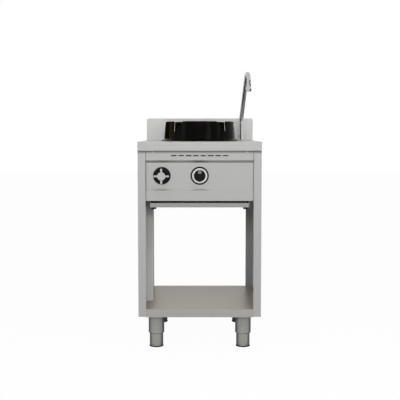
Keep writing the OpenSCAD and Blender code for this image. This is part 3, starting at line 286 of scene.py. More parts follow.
class Board:
    """The node tree of a material or a world."""

    def __init__(self, owner):
        owner.use_nodes = True
        self.owner = owner
        self.tree = owner.node_tree
        self.tree.nodes.clear()

    def node(self, kind, settings=None, sockets=None):
        """Adds one node: its settings come first, then the values or links of its sockets."""
        node = self.tree.nodes.new(kind)
        for key, value in (settings or {}).items():
            setattr(node, key, value)
        for key, value in (sockets or {}).items():
            socket = node.inputs[key]
            if isinstance(value, Reading):
                self.tree.links.new(value.socket, socket)
            elif socket.type == "RGBA" and len(value) == 3:
                socket.default_value = (*value, 1)
            else:
                socket.default_value = value
        return Made(self, node)

    def sum(self, operation, first, second):
        settings = {"operation": operation}
        return self.node("ShaderNodeMath", settings, {0: first, 1: second}).reading()

    def mix(self, share, first, second):
        """A colour between two others."""
        sockets = {0: share, 6: first, 7: second}
        return self.node("ShaderNodeMix", {"data_type": "RGBA"}, sockets).reading(2)

    def toned(self, share, colour, low, high):
        """A colour between two shades of itself."""
        return self.mix(share, shaded(colour, low), shaded(colour, high))

    def blended(self, share, first, second):
        """A shader between two others."""
        return self.node("ShaderNodeMixShader", None, {0: share, 1: first, 2: second}).reading()

    def place(self):
        return self.node("ShaderNodeTexCoord").reading("Object")

    def facing(self):
        """X, Y and Z of the direction that a face looks to."""
        return self.axes(self.node("ShaderNodeNewGeometry").reading("Normal"))

    def stretched(self, place, scale):
        settings = {"operation": "MULTIPLY"}
        return self.node("ShaderNodeVectorMath", settings, {0: place, 1: scale}).reading()

    def noise(self, place, scale, detail=2.0, roughness=0.5):
        """Noise with so many cells to the metre along X, Y and Z."""
        if not hasattr(scale, "__len__"):
            scale = (scale,) * 3
        sockets = {"Vector": self.stretched(place, scale), "Scale": 1.0, "Detail": detail,
                   "Roughness": roughness}
        return self.node("ShaderNodeTexNoise", None, sockets).reading("Fac")

    def axes(self, vector):
        split = self.node("ShaderNodeSeparateXYZ", None, {0: vector})
        return [split.reading(i) for i in range(3)]

    def bump(self, height, depth):
        sockets = {"Height": height, "Distance": depth, "Strength": 1.0}
        return self.node("ShaderNodeBump", None, sockets).reading()

    def surface(self, **sockets):
        """A Principled surface; an underscore in a name stands for a space."""
        named = {key.replace("_", " "): value for key, value in sockets.items()}
        shader = self.node("ShaderNodeBsdfPrincipled", None, named).reading()
        self.node("ShaderNodeOutputMaterial", None, {"Surface": shader})
        return self.owner


def finish_board(name):
    return Board(bpy.data.materials.new(name))


def shaded(colour, share):
    return tuple(channel * share for channel in colour)


def tinted(colour, shares):
    return tuple(channel * share for channel, share in zip(colour, shares))


# Finishes

def satin_sheet(name, colour, roughness, metal, gloss, grain_axis, depth, facings=(), seams=()):
    """Satin stainless sheet, grained along one axis.

    Faces that turn along an axis may have a colour of their own, painted light and shade by the way
    they face: each row of facings is an axis, two shares of the turn and a colour. Painted shade
    gathers along the seams: each row of seams is an axis, the seam's distance along it, a reach
    and a share."""
    board = finish_board(name)
    place = board.place()
    fine, coarse = [2600] * 3, [240] * 3
    fine[grain_axis], coarse[grain_axis] = 24, 3
    grain = board.noise(place, fine, 3, 0.6)
    streaks = board.noise(place, coarse, 2)
    clouds = board.noise(place, 5, 3)
    smudges = board.noise(place, 26, 4, 0.62).between(0.55, 0.8)
    tone = 0.5 + grain.swing(0.6) + streaks.swing(0.3) + clouds.swing(0.4)
    base = board.toned(tone, colour, 0.98, 1.02)
    # Painted light and shade: faces that look one way get a lighter or darker colour
    for axis, low, high, other in facings:
        turned = board.facing()[axis].between(low, high)
        base = board.mix(turned, base, board.toned(tone, other, 0.98, 1.02))
    # Painted shade: a darker band along each seam, where shadow falls
    for axis, seam, reach, share in seams:
        painted_shade = abs(board.axes(place)[axis]).between(seam - reach, seam) * share
        base = board.mix(painted_shade, base, shaded(colour, 0.2))
    rough = roughness + grain.swing(0.04) + clouds.swing(0.05) + smudges * 0.03
    return board.surface(Base_Color=base, Roughness=rough, Metallic=metal,
                         Specular_IOR_Level=gloss,
                         Normal=board.bump(grain + streaks * 0.3, depth))


def turned_tube(name, colour, roughness, metal, gloss, depth):
    """Tube turned to a satin finish, with fine lines round it and floor splashes low down."""
    splash_low, splash_high = 4 * MM, 50 * MM
    board = finish_board(name)
    place = board.place()
    lines = board.noise(place, (30, 30, 2600), 2)
    bands = board.noise(place, (4, 4, 110), 3)
    clouds = board.noise(place, 30, 3)
    drops = board.noise(place, 90, 4, 0.65).between(0.42, 0.7)
    splash = (1 - board.axes(place)[2].between(splash_low, splash_high)) * drops
    tone = 0.5 + lines.swing(0.6) + bands.swing(0.4) + clouds.swing(0.4)
    clean = board.toned(tone, colour, 0.96, 1.04)
    base = board.mix(splash * 0.25, clean, shaded(colour, 0.6))
    rough = roughness + lines.swing(0.1) + splash * 0.15
    return board.surface(Base_Color=base, Roughness=rough, Metallic=metal,
                         Specular_IOR_Level=gloss,
                         Normal=board.bump(lines + bands * 0.3, depth))


def bright_zinc(name, colour):
    """Zinc plate with faint yellow and blue patches."""
    board = finish_board(name)
    place = board.place()
    patches = board.noise(place, 160, 3)
    grit = board.noise(place, 1400, 2)
    warm, cool = tinted(colour, (1.08, 1.0, 0.86)), tinted(colour, (0.92, 0.98, 1.06))
    base = board.mix(patches.between(0.35, 0.65), warm, cool)
    rough = 0.3 + grit.swing(0.16) + patches.swing(0.14)
    return board.surface(Base_Color=base, Roughness=rough, Metallic=0.9,
                         Normal=board.bump(grit, 0.02 * MM))


def black_enamel(name, casting, rim_z, base_z):
    """Fired enamel on a casting: slow ripples, pin holes, runs, a burnt rim, one streak that paints
    a reflection with the heat tint, and a little dust by the flange."""
    rim_h, dust_h = 26 * MM, 9 * MM
    painted_reflection_from, painted_reflection_to, fade = -135 * MM, -115 * MM, 8 * MM
    dust_colour = (0.05, 0.047, 0.043)
    board = finish_board(name)
    place = board.place()
    ripple = board.noise(place, 55, 2)
    peel = board.noise(place, 420, 2)
    patches = board.noise(place, 14, 3)
    dots = board.noise(place, 620, 1).between(0.70, 0.76)
    runs = board.noise(place, (38, 38, 2.5), 2).between(0.50, 0.72)
    specks = board.noise(place, 70, 4).between(0.45, 0.65)
    across, _, height = board.axes(place)
    rim = height.between(rim_z - rim_h, rim_z) * patches.between(0.38, 0.62)
    # Painted reflection: a tinted streak at a fixed place on the left of the ring
    painted_reflection = (across.between(painted_reflection_from, painted_reflection_from + fade)
              * (1 - across.between(painted_reflection_to - fade, painted_reflection_to)))
    burn_and_reflection = (rim * 0.5).most(painted_reflection)
    dust = (1 - height.between(base_z, base_z + dust_h)) * specks
    fired = board.mix(runs, casting.enamel_colour, casting.run_colour)
    heated_and_reflecting = board.mix(burn_and_reflection, fired, casting.heat_and_reflection_colour)
    base = board.mix(dust * 0.25, heated_and_reflecting, dust_colour)
    rough = 0.17 + peel.swing(0.06) + burn_and_reflection * 0.1 + dust * 0.2 + dots * 0.25
    return board.surface(Base_Color=base, Roughness=rough, Metallic=0.0, Specular_IOR_Level=0.03,
                         Normal=board.bump(ripple + peel * 0.12 - dots * 0.15, 0.25 * MM))


def raw_casting(name, casting):
    """Sand-cast iron with light rust."""
    board = finish_board(name)
    place = board.place()
    sand = board.noise(place, 520, 4, 0.65)
    lumps = board.noise(place, 60, 3)
    rust = board.noise(place, 24, 5, 0.65).between(0.5, 0.68)
    tone = board.toned(sand, casting.iron_colour, 0.7, 1.35)
    base = board.mix(rust * 0.7, tone, casting.rust_colour)
    return board.surface(Base_Color=base, Roughness=0.58 + rust * 0.3 + sand.swing(0.15),
                         Metallic=0.35, Normal=board.bump(sand + lumps * 0.8, 0.5 * MM))


def tarnished(name, colour, dark, roughness, cells):
    """Yellow or red metal with tarnish in patches and drawing lines."""
    board = finish_board(name)
    place = board.place()
    old = board.noise(place, cells, 4, 0.6).between(0.45, 0.72)
    grit = board.noise(place, 1300, 2)
    base = board.mix(old * 0.75, colour, tinted(colour, dark))
    rough = roughness + old * 0.2 + grit.swing(0.12)
    return board.surface(Base_Color=base, Roughness=rough, Metallic=1.0,
                         Normal=board.bump(grit, 0.02 * MM))


def polished_chrome(name, colour):
    """Polished chrome with dried water spots."""
    board = finish_board(name)
    place = board.place()
    spots = board.noise(place, 240, 2).between(0.66, 0.72)
    haze = board.noise(place, 32, 3)
    rough = 0.05 + haze * 0.05 + spots * 0.14
    return board.surface(Base_Color=board.toned(haze, colour, 0.97, 1.03), Roughness=rough,
                         Metallic=1.0, Normal=board.bump(haze, 0.02 * MM))


def moulded(name, colour, roughness, texture):
    """Moulded black plastic or rubber with a fine skin and scuffs."""
    board = finish_board(name)
    place = board.place()
    skin = board.noise(place, texture, 2)
    scuffs = board.noise(place, 150, 4, 0.65).between(0.55, 0.72)
    scuffed = tuple(channel * 2.2 + 0.002 for channel in colour)
    rough = roughness + skin.swing(0.14) + scuffs * 0.1
    return board.surface(Base_Color=board.mix(scuffs * 0.4, colour, scuffed), Roughness=rough,
                         Metallic=0.0, Specular_IOR_Level=0.12,
                         Normal=board.bump(skin, 0.03 * MM))


def spun_disc(name, colour, centre, dark, inner, outer):
    """Silver disc spun on a lathe: fine rings round its own centre, dark inside and outside two
    radii. On the dial the dark inside is painted shade in the gap round the knob; the dark outside
    is the dial's own black band."""
    soft = 0.3 * MM
    board = finish_board(name)
    place = board.place()
    away = board.node("ShaderNodeVectorMath", {"operation": "DISTANCE"},
                      {0: board.stretched(place, (1, 0, 1)), 1: (centre.x, 0, centre.z)})
    away = away.reading("Value")
    rings = board.node("ShaderNodeTexNoise", {"noise_dimensions": "1D"},
                       {"W": away, "Scale": 5200.0, "Detail": 3.0}).reading("Fac")
    haze = board.noise(place, 90, 3)
    bright = board.toned(0.5 + rings.swing(0.7), colour, 0.93, 1.05)
    # Painted shade inside the inner radius; the dial's own black band outside the outer radius
    edges = (1 - away.between(inner, inner + soft)).most(away.between(outer, outer + soft))
    rough = 0.28 + rings.swing(0.2) + haze.swing(0.08)
    return board.surface(Base_Color=board.mix(edges, bright, dark), Roughness=rough,
                         Metallic=0.6, Normal=board.bump(rings, 0.02 * MM))


def printed_ink(name, colour):
    """Dark ink with a little grain."""
    board = finish_board(name)
    grain = board.noise(board.place(), 2200, 2)
    return board.surface(Base_Color=board.toned(grain, colour, 0.8, 1.3),
                         Roughness=0.5 + grain.swing(0.2),
                         Normal=board.bump(grain, 0.01 * MM))


# Shapes

def wear(nodes, material):
    """Gives the CAD nodes a finish."""
    for name in nodes:
        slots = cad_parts[name].data.materials
        slots.clear()
        slots.append(material)


def round_edges(nodes, radius, segments=2, angle=35.0):
    """Rounds the sharp edges of CAD nodes with modifiers; their meshes stay as they are."""
    for name in nodes:
        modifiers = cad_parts[name].modifiers
        weld = modifiers.new("join corners", "WELD")
        weld.merge_threshold = 0.002 * MM
        flat = modifiers.new("one face per side", "DECIMATE")
        flat.decimate_type = "DISSOLVE"
        flat.angle_limit = math.radians(0.4)
        bevel = modifiers.new("edges", "BEVEL")
        bevel.width = radius
        bevel.segments = segments
        bevel.limit_method = "ANGLE"
        bevel.angle_limit = math.radians(angle)
        bevel.use_clamp_overlap = True
        even = modifiers.new("even shading", "WEIGHTED_NORMAL")
        even.keep_sharp = False


def front_corners(node):
    """The corners of a CAD node that lie in its front plane."""
    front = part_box(node)[0].y
    return [vert.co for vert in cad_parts[node].data.vertices if vert.co.y < front + TOUCH]


def new_piece(name, mesh_maker, material, body):
    """Makes a piece from a bmesh, gives it its finish and lets it ride on a body."""
    mesh = bpy.data.meshes.new(name)
    shape = bmesh.new()
    mesh_maker(shape)
    bmesh.ops.recalc_face_normals(shape, faces=shape.faces)
    shape.to_mesh(mesh)
    shape.free()
    mesh.materials.append(material)
    piece = bpy.data.objects.new(name, mesh)
    bpy.context.scene.collection.objects.link(piece)
    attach(piece, body)
    return piece


def smooth(piece, angle=40.0):
    """Smooth shading with the sharp edges kept."""
    shape = bmesh.new()
    shape.from_mesh(piece.data)
    for face in shape.faces:
        face.smooth = True
    for edge in shape.edges:
        if len(edge.link_faces) == 2:
            edge.smooth = edge.calc_face_angle() < math.radians(angle)
    shape.to_mesh(piece.data)
    shape.free()


def sweep_round(shape, section, place, steps):
    """Turns a closed section about an axis. section(angle) lists radius and height pairs."""
    loops = []
    for i in range(steps):
        angle = TURN * i / steps
        loops.append([shape.verts.new(place @ Vector((r * math.cos(angle), r * math.sin(angle), h)))
                      for r, h in section(angle)])
    count = len(loops[0])
    for i in range(steps):
        ring, after = loops[i], loops[(i + 1) % steps]
        for j in range(count):
            shape.faces.new((ring[j], after[j], after[(j + 1) % count], ring[(j + 1) % count]))


def axis_frame(at, direction):
    """A frame at a point whose Z runs along a direction."""
    turn = Vector(direction).to_track_quat("Z", "Y").to_matrix().to_4x4()
    return Matrix.Translation(at) @ turn


def bar(shape, low, high, place):
    """A closed bar between two corners, with rounded edges."""
    made = bmesh.ops.create_cube(shape, size=1.0)["verts"]
    size = Vector(high) - Vector(low)
    middle = (Vector(high) + Vector(low)) / 2
    for vert in made:
        vert.co = place @ (Vector(c * s for c, s in zip(vert.co, size)) + middle)
    edges = {edge for vert in made for edge in vert.link_edges}
    bmesh.ops.bevel(shape, geom=list(edges), offset=min(size) * 0.2, segments=2, affect="EDGES")


class SteelworkOperator(bpy.types.Operator):
    """Finish the worktop, panels, shelf and drip tray, and plug the tray's runners with black caps
    as painted shade
    """
    bl_idname = "wok_range.steelwork"
    bl_label = "Steelwork"

    def execute(self, context):
        steel = context.scene.wok_range.steel
        ground = (steel.roughness, steel.metal, steel.gloss)
        front = (steel.roughness, steel.front_metal, steel.gloss)
        side = (steel.side_roughness, steel.side_metal, steel.gloss)
        dull = (steel.dull_roughness, steel.dull_metal, steel.dull_gloss)
        shelf = (steel.shelf_roughness, steel.shelf_metal, steel.dull_gloss)
        duct = (steel.dull_roughness, steel.duct_metal, steel.dull_gloss)
        # Painted light on the front panel's faces that look up, painted shade on those that look
        # down
        slopes = ((2, 0.3, 0.5, steel.up_slope_painted_light),
                  (2, -0.3, -0.5, steel.down_slope_painted_shade))
        # Painted shade: the rear panel's faces that look forward, inside the cabinet, get the
        # near-black colour
        inside = ((1, -0.3, -0.6, steel.heat_and_shade_colour),)
        # Painted shade: the shelf's faces that look up get a darker, warmer colour
        top = ((2, 0.6, 0.9, steel.shelf_top_shade_colour),)
        # Painted shade under the worktop's edge, on the front and the sides, and beside the posts
        shade_under_apron = (2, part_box("worktop")[0].z, steel.apron_painted_shade, 0.8)
        shade_beside_posts = (0, self.post_edge(), steel.post_painted_shade, 0.6)
        for nodes, name, colour, polish, grain_axis, *extras in (
                (WORKTOP, "worktop_satin", steel.worktop_colour, ground, 0),
                (UPSTAND, "upstand_satin", steel.upstand_colour, ground, 0),
                (FRONT_PANEL, "front_satin", steel.panel_colour, front, 0, slopes,
                 (shade_under_apron, shade_beside_posts)),
                (REAR_PANEL, "rear_satin", steel.panel_colour, front, 0, inside),
                (SIDE_PANELS, "panel_satin_upright", steel.side_colour, side, 2, (),
                 (shade_under_apron,)),
                (DUCT, "duct_satin", steel.duct_painted_light, duct, 2),
                (SHELF, "shelf_rolled", steel.shelf_colour, shelf, 0, top),
                (RUNNERS, "runner_black", steel.runner_shade_colour, dull, 1),
                (TRAY, "tray_satin", steel.tray_colour, side, 0),
                (HEATED, "heated_sheet", steel.heat_and_shade_colour, dull, 0)):
            wear(nodes, satin_sheet(name, colour, *polish, grain_axis, steel.grain_depth, *extras))
        round_edges(WORKTOP + UPSTAND + FRONT_PANEL + REAR_PANEL + SIDE_PANELS + DUCT + SHELF
                    + RUNNERS + TRAY, steel.fold_radius)
        # Black caps in the runners' front ends paint the shade in their channels
        black = moulded("cap_painted_shade", steel.runner_shade_colour, 0.55, 900)
        for node in RUNNERS:
            name = "runner_cap_" + node.split("_")[0]
            smooth(new_piece(name, self.runner_shade_cap(node), black, "cabinet"))
        return {"FINISHED"}

    @staticmethod
    def post_edge():
        """How far from the middle the posts end, found from a side panel's front flange."""
        return min(corner.x for corner in front_corners("right_side_panel"))

    @staticmethod
    def runner_shade_cap(node):
        """A black plug in the front end of a runner's channel, found from the runner's mesh; it
        paints the shade in the channel.
        """
        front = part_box(node)[0].y
        end = front_corners(node)
        low, ceiling, seat = sorted({round(corner.z, 5) for corner in end})[:3]
        xs = sorted({round(corner.x, 5) for corner in end if corner.z < low + TOUCH})
        fit, lip, plug_l = 0.1 * MM, 0.8 * MM, 9 * MM

        def make(shape):
            place = Matrix.Identity(4)
            bar(shape, (xs[0], front - lip, low), (xs[-1], front, seat - 2 * fit), place)
            bar(shape, (xs[1] + fit, front, low + fit),
                (xs[-2] - fit, front + plug_l, ceiling - fit), place)
        return make


class LegsOperator(bpy.types.Operator):
    """Finish the legs and weld them to their plates"""
    bl_idname = "wok_range.legs"
    bl_label = "Legs"

    def execute(self, context):
        steel = context.scene.wok_range.steel
        fitting = context.scene.wok_range.fitting
        tube = turned_tube("leg_turned", steel.leg_colour, steel.leg_roughness, steel.leg_metal,
                           steel.dull_gloss, steel.grain_depth)
        wear(SLEEVES + FEET, tube)
        wear(FOOT_RINGS, moulded("foot_rubber", fitting.rubber_colour, 0.6, 700))
        wear(FASTENERS, bright_zinc("bright_zinc", steel.fastener_colour))
        bead_r, plate_t = 1.8 * MM, 3 * MM
        for corner in CORNERS:
            low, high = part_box("leg_" + corner)
            foot_low, foot_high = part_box("foot_" + corner)
            middle = (foot_low + foot_high) / 2
            sleeve_r = self.sleeve_radius("leg_" + corner, middle, low.z)
            at = Vector((middle.x, middle.y, high.z - plate_t))
            new_piece("leg_weld_" + corner, self.weld_bead(at, sleeve_r, bead_r), tube,
                      "cabinet")
        return {"FINISHED"}

    @staticmethod
    def sleeve_radius(node, middle, low_z):
        """Radius of a sleeve, measured near its lower end."""
        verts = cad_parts[node].data.vertices
        return max(math.hypot(v.co.x - middle.x, v.co.y - middle.y) for v in verts
                   if v.co.z < low_z + 10 * MM)

    @staticmethod
    def weld_bead(at, sleeve_r, bead_r):
        """A rippled bead round a sleeve, flat against the plate above it."""
        sides, steps = 10, 184

        def section(angle):
            r = bead_r * (1 + 0.12 * math.sin(angle * 46) + 0.06 * math.sin(angle * 7 + 1))
            turns = [TURN * i / sides for i in range(sides)]
            return [(sleeve_r + 0.3 * bead_r + r * math.cos(turn),
                     -0.35 * bead_r + min(r * math.sin(turn), 0.3 * bead_r)) for turn in turns]

        def make(shape):
            sweep_round(shape, section, Matrix.Translation(at), steps)
        return make


class CastingsOperator(bpy.types.Operator):
    """Finish the wok ring and the burner"""
    bl_idname = "wok_range.castings"
    bl_label = "Castings"

    def execute(self, context):
        casting = context.scene.wok_range.casting
        fitting = context.scene.wok_range.fitting
        low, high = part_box("wok_ring")
        wear(("wok_ring",), black_enamel("ring_enamel_black", casting, high.z, low.z))
        wear(("burner_body",), raw_casting("burner_raw_iron", casting))
        wear(("burner_head",), tarnished("burner_head_brass", fitting.brass_colour,
                                         (0.35, 0.28, 0.25), 0.4, 60))
        round_edges(("wok_ring",), casting.edge_radius, 3, 40)
        return {"FINISHED"}


class GasControlOperator(bpy.types.Operator):
    """Finish the gas knob, its bezel and its dial with the dial's mark"""
    bl_idname = "wok_range.gas_control"
    bl_label = "Gas control"

    def execute(self, context):
        fitting = context.scene.wok_range.fitting
        low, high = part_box("dial_ring")
        middle = (low + high) / 2
        wear(("gas_knob",), moulded("knob_moulded", fitting.knob_colour, 0.3, 900))
        wear(("knob_bezel", "valve_escutcheon"),
             moulded("bezel_moulded", fitting.bezel_colour, 0.3, 1200))
        # The dial's dark inside its silver band is painted shade in the gap round the knob
        wear(("dial_ring",), spun_disc("dial_spun", fitting.dial_colour, middle,
                                       fitting.bezel_colour, fitting.dial_inner_r,
                                       fitting.dial_outer_r))
        round_edges(("gas_knob",), 0.7 * MM, 3, 30)
        ink = printed_ink("dial_ink", fitting.mark_colour)
        face = Vector((middle.x, low.y, middle.z))
        new_piece("dial_mark", self.mark(face), ink, "cabinet")
        # The pointer plate's light grey is a painted highlight on the grip's sloped end
        silver = spun_disc("pointer_highlight_silver", fitting.pointer_highlight_colour, middle,
                           fitting.pointer_highlight_colour, 0, high.z - low.z)
        smooth(new_piece("knob_pointer", self.pointer(), silver, "gas_knob"))
        return {"FINISHED"}

    @staticmethod
    def mark(face):
        """A short bar of ink along a radius of the dial."""
        start_r, end_r, half_w = 24.9 * MM, 29.2 * MM, 0.9 * MM
        proud, sunk = 0.12 * MM, 0.1 * MM
        place = Matrix.Translation(face) @ Matrix.Rotation(math.radians(-129), 4, "Y")

        def make(shape):
            bar(shape, (start_r, -proud, -half_w), (end_r, sunk, half_w), place)
        return make

    @staticmethod
    def pointer():
        """A thin light plate let into the sloped end of the grip, found from the knob's mesh; its
        light grey paints the highlight on that end.
        """
        margin, sunk, proud = 1.2 * MM, 0.2 * MM, 0.25 * MM
        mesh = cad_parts["gas_knob"].data
        sideways = Vector((1, 0, 0))
        slope = max((face for face in mesh.polygons if abs(face.normal.x) < 0.01
                     and 0.4 < face.normal.z < 0.95 and face.normal.y < -0.2),
                    key=lambda face: face.area)
        normal = slope.normal.copy()
        along = normal.cross(sideways)
        corners = [mesh.vertices[i].co for face in mesh.polygons
                   if (face.normal - normal).length < 0.01 for i in face.vertices]
        xs = [corner.x for corner in corners]
        runs = [corner.dot(along) for corner in corners]
        middle = (sideways * (min(xs) + max(xs)) / 2 + along * (min(runs) + max(runs)) / 2
                  + normal * slope.center.dot(normal))
        turn = Matrix((sideways, along, normal)).transposed().to_4x4()
        place = Matrix.Translation(middle) @ turn
        half_w = (max(xs) - min(xs)) / 2 - margin
        half_l = (max(runs) - min(runs)) / 2 - margin

        def make(shape):
            bar(shape, (-half_w, -half_l, -sunk), (half_w, half_l, proud), place)
        return make


class FaucetOperator(bpy.types.Operator):
    """Finish the chrome: faucet, aerator with its screen, and cross handle"""
    bl_idname = "wok_range.faucet"
    bl_label = "Faucet and cross handle"

    def execute(self, context):
        fitting = context.scene.wok_range.fitting
        chrome = polished_chrome("chrome_polished", fitting.chrome_colour)
        wear(FAUCET + ("cross_handle",), chrome)
        round_edges(("cross_handle", "aerator", "swivel_nut", "faucet_base"), 0.6 * MM, 3, 30)
        low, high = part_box("aerator")
        mouth = Vector(((low.x + high.x) / 2, (low.y + high.y) / 2, low.z))
        smooth(new_piece("aerator_screen", self.screen(mouth), chrome, "spout"))
        return {"FINISHED"}

    @staticmethod
    def screen(mouth):
        """Rings and spokes just inside the aerator's mouth."""
        outer_r, middle_r, inner_r, spoke_r = 8.2 * MM, 5.6 * MM, 3.1 * MM, 2.9 * MM
        floor, thick, rib, sunk = 1.0 * MM, 1.6 * MM, 0.35 * MM, 0.2 * MM
        spokes = 12

        def make(shape):
            place = Matrix.Translation(mouth)
            for r in (outer_r - rib, middle_r, inner_r):
                loop = [(r - rib, floor), (r + rib, floor),
                        (r + rib, floor + thick), (r - rib, floor + thick)]
                sweep_round(shape, lambda angle: loop, place, 48)
            for i in range(spokes):
                turn = place @ Matrix.Rotation(TURN * i / spokes, 4, "Z")
                bar(shape, (spoke_r, -rib, floor + sunk),
                    (outer_r - rib, rib, floor + thick - sunk), turn)
        return make


class PipeworkOperator(bpy.types.Operator):
    """Finish the brass and copper, and cut the threads of the two inlets"""
    bl_idname = "wok_range.pipework"
    bl_label = "Pipework"

    def execute(self, context):
        fitting = context.scene.wok_range.fitting
        brass = tarnished("brass_turned", fitting.brass_colour, (0.62, 0.52, 0.42), 0.28, 120)
        wear(BRASS, brass)
        wear(COPPER, tarnished("copper_drawn", fitting.copper_colour, (0.5, 0.42, 0.4), 0.3, 45))
        for node, direction in (("gas_inlet", (0, 1, 0)), ("water_inlet", (0, 0, -1))):
            low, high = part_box(node)
            axis = Vector(direction)
            length = abs((high - low).dot(axis))
            place = axis_frame((low + high) / 2 - axis * length / 2, axis)
            inlet = new_piece(node + "_threaded", self.inlet(place, length, fitting), brass,
                              "cabinet")
            smooth(inlet, 50)
            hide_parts(node)
        return {"FINISHED"}

    @staticmethod
    def inlet(place, length, fitting):
        """Neck, hexagon and threaded end round one bore."""
        bore_r, neck_r, hex_r, thread_r = 7 * MM, 9 * MM, 15 * MM, 10.475 * MM
        thread_l, hex_l, chamfer, lead_l = 22 * MM, 8 * MM, 1.2 * MM, 1.5 * MM
        thread_z = length - thread_l
        hex_z = thread_z - hex_l
        pitch = fitting.thread_pitch
        steps = 8 * round(thread_l / pitch)
        heights = [thread_z + thread_l * i / steps for i in range(steps + 1)]

        def across(angle):
            return hex_r * math.cos(math.pi / 6) / math.cos(angle % (math.pi / 3) - math.pi / 6)

        def thread(angle, h):
            phase = ((h - thread_z) / pitch - angle / TURN) % 1
            groove = 1 - abs(2 * phase - 1)
            end = max(min((h - thread_z) / pitch, (length - h) / pitch, 1), 0)
            lead_in = max(0, 1 - (length - h) / lead_l) * MM
            return thread_r - fitting.thread_depth * groove * end - lead_in

        def section(angle):
            flat = across(angle)
            low_flat = min(flat, hex_r * 0.93)
            return [(bore_r, 0), (neck_r, 0), (neck_r, hex_z), (low_flat, hex_z),
                    (flat, hex_z + chamfer), (flat, thread_z - chamfer), (low_flat, thread_z),
                    *((thread(angle, h), h) for h in heights), (bore_r, length)]

        def make(shape):
            sweep_round(shape, section, place, 72)
        return make


class ScrewsOperator(bpy.types.Operator):
    """Make the two small screws under the worktop's front edge with a cross recess"""
    bl_idname = "wok_range.screws"
    bl_label = "Front screws"

    def execute(self, context):
        zinc = bpy.data.materials["bright_zinc"]
        low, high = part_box("fascia_screws")
        head_r = (high.z - low.z) / 2
        level = (high.z + low.z) / 2
        length, head_h = high.y - low.y, 2 * MM
        for x in (low.x + head_r, high.x - head_r):
            place = axis_frame((x, high.y, level), (0, -1, 0))
            side = "left" if x < 0 else "right"
            self.screw("front_screw_" + side, place, head_r, length - head_h, length,
                                     zinc)
        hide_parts("fascia_screws")
        return {"FINISHED"}

    @staticmethod
    def screw(name, place, head_r, seat_h, top_h, material):
        """A screw with a domed head, from whose top a cross is cut."""
        shank_r, tip_h, rim_h, pole_r = 1.9 * MM, 1.5 * MM, 0.4 * MM, 0.02 * MM
        arm, half_w, depth = head_r * 0.55, 0.42 * MM, 0.9 * MM
        steps = 8
        turns = [math.pi / 2 * i / steps for i in range(steps + 1)]
        dome_z = seat_h + rim_h
        outline = [(pole_r, 0), (shank_r * 0.6, 0), (shank_r, tip_h), (shank_r, seat_h),
                   (head_r, seat_h),
                   *((max(head_r * math.cos(turn), pole_r),
                      dome_z + (top_h - dome_z) * math.sin(turn)) for turn in turns)]

        def head(shape):
            sweep_round(shape, lambda angle: outline, place, 36)

        def cross(shape):
            low, high = top_h - depth, top_h + MM
            bar(shape, (-arm, -half_w, low), (arm, half_w, high), place)
            bar(shape, (-half_w, -arm, low), (half_w, arm, high), place)
        piece = new_piece(name, head, material, "cabinet")
        cutter = new_piece(name + "_recess", cross, material, "cabinet")
        cut = piece.modifiers.new("cross recess", "BOOLEAN")
        cut.operation = "DIFFERENCE"
        cut.solver = "EXACT"
        cut.use_self = True
        cut.object = cutter
        bpy.context.view_layer.update()
        evaluated = piece.evaluated_get(bpy.context.evaluated_depsgraph_get())
        carved = bpy.data.meshes.new_from_object(evaluated)
        piece.modifiers.clear()
        piece.data = carved
        bpy.data.objects.remove(cutter)
        smooth(piece, 45)
        return piece


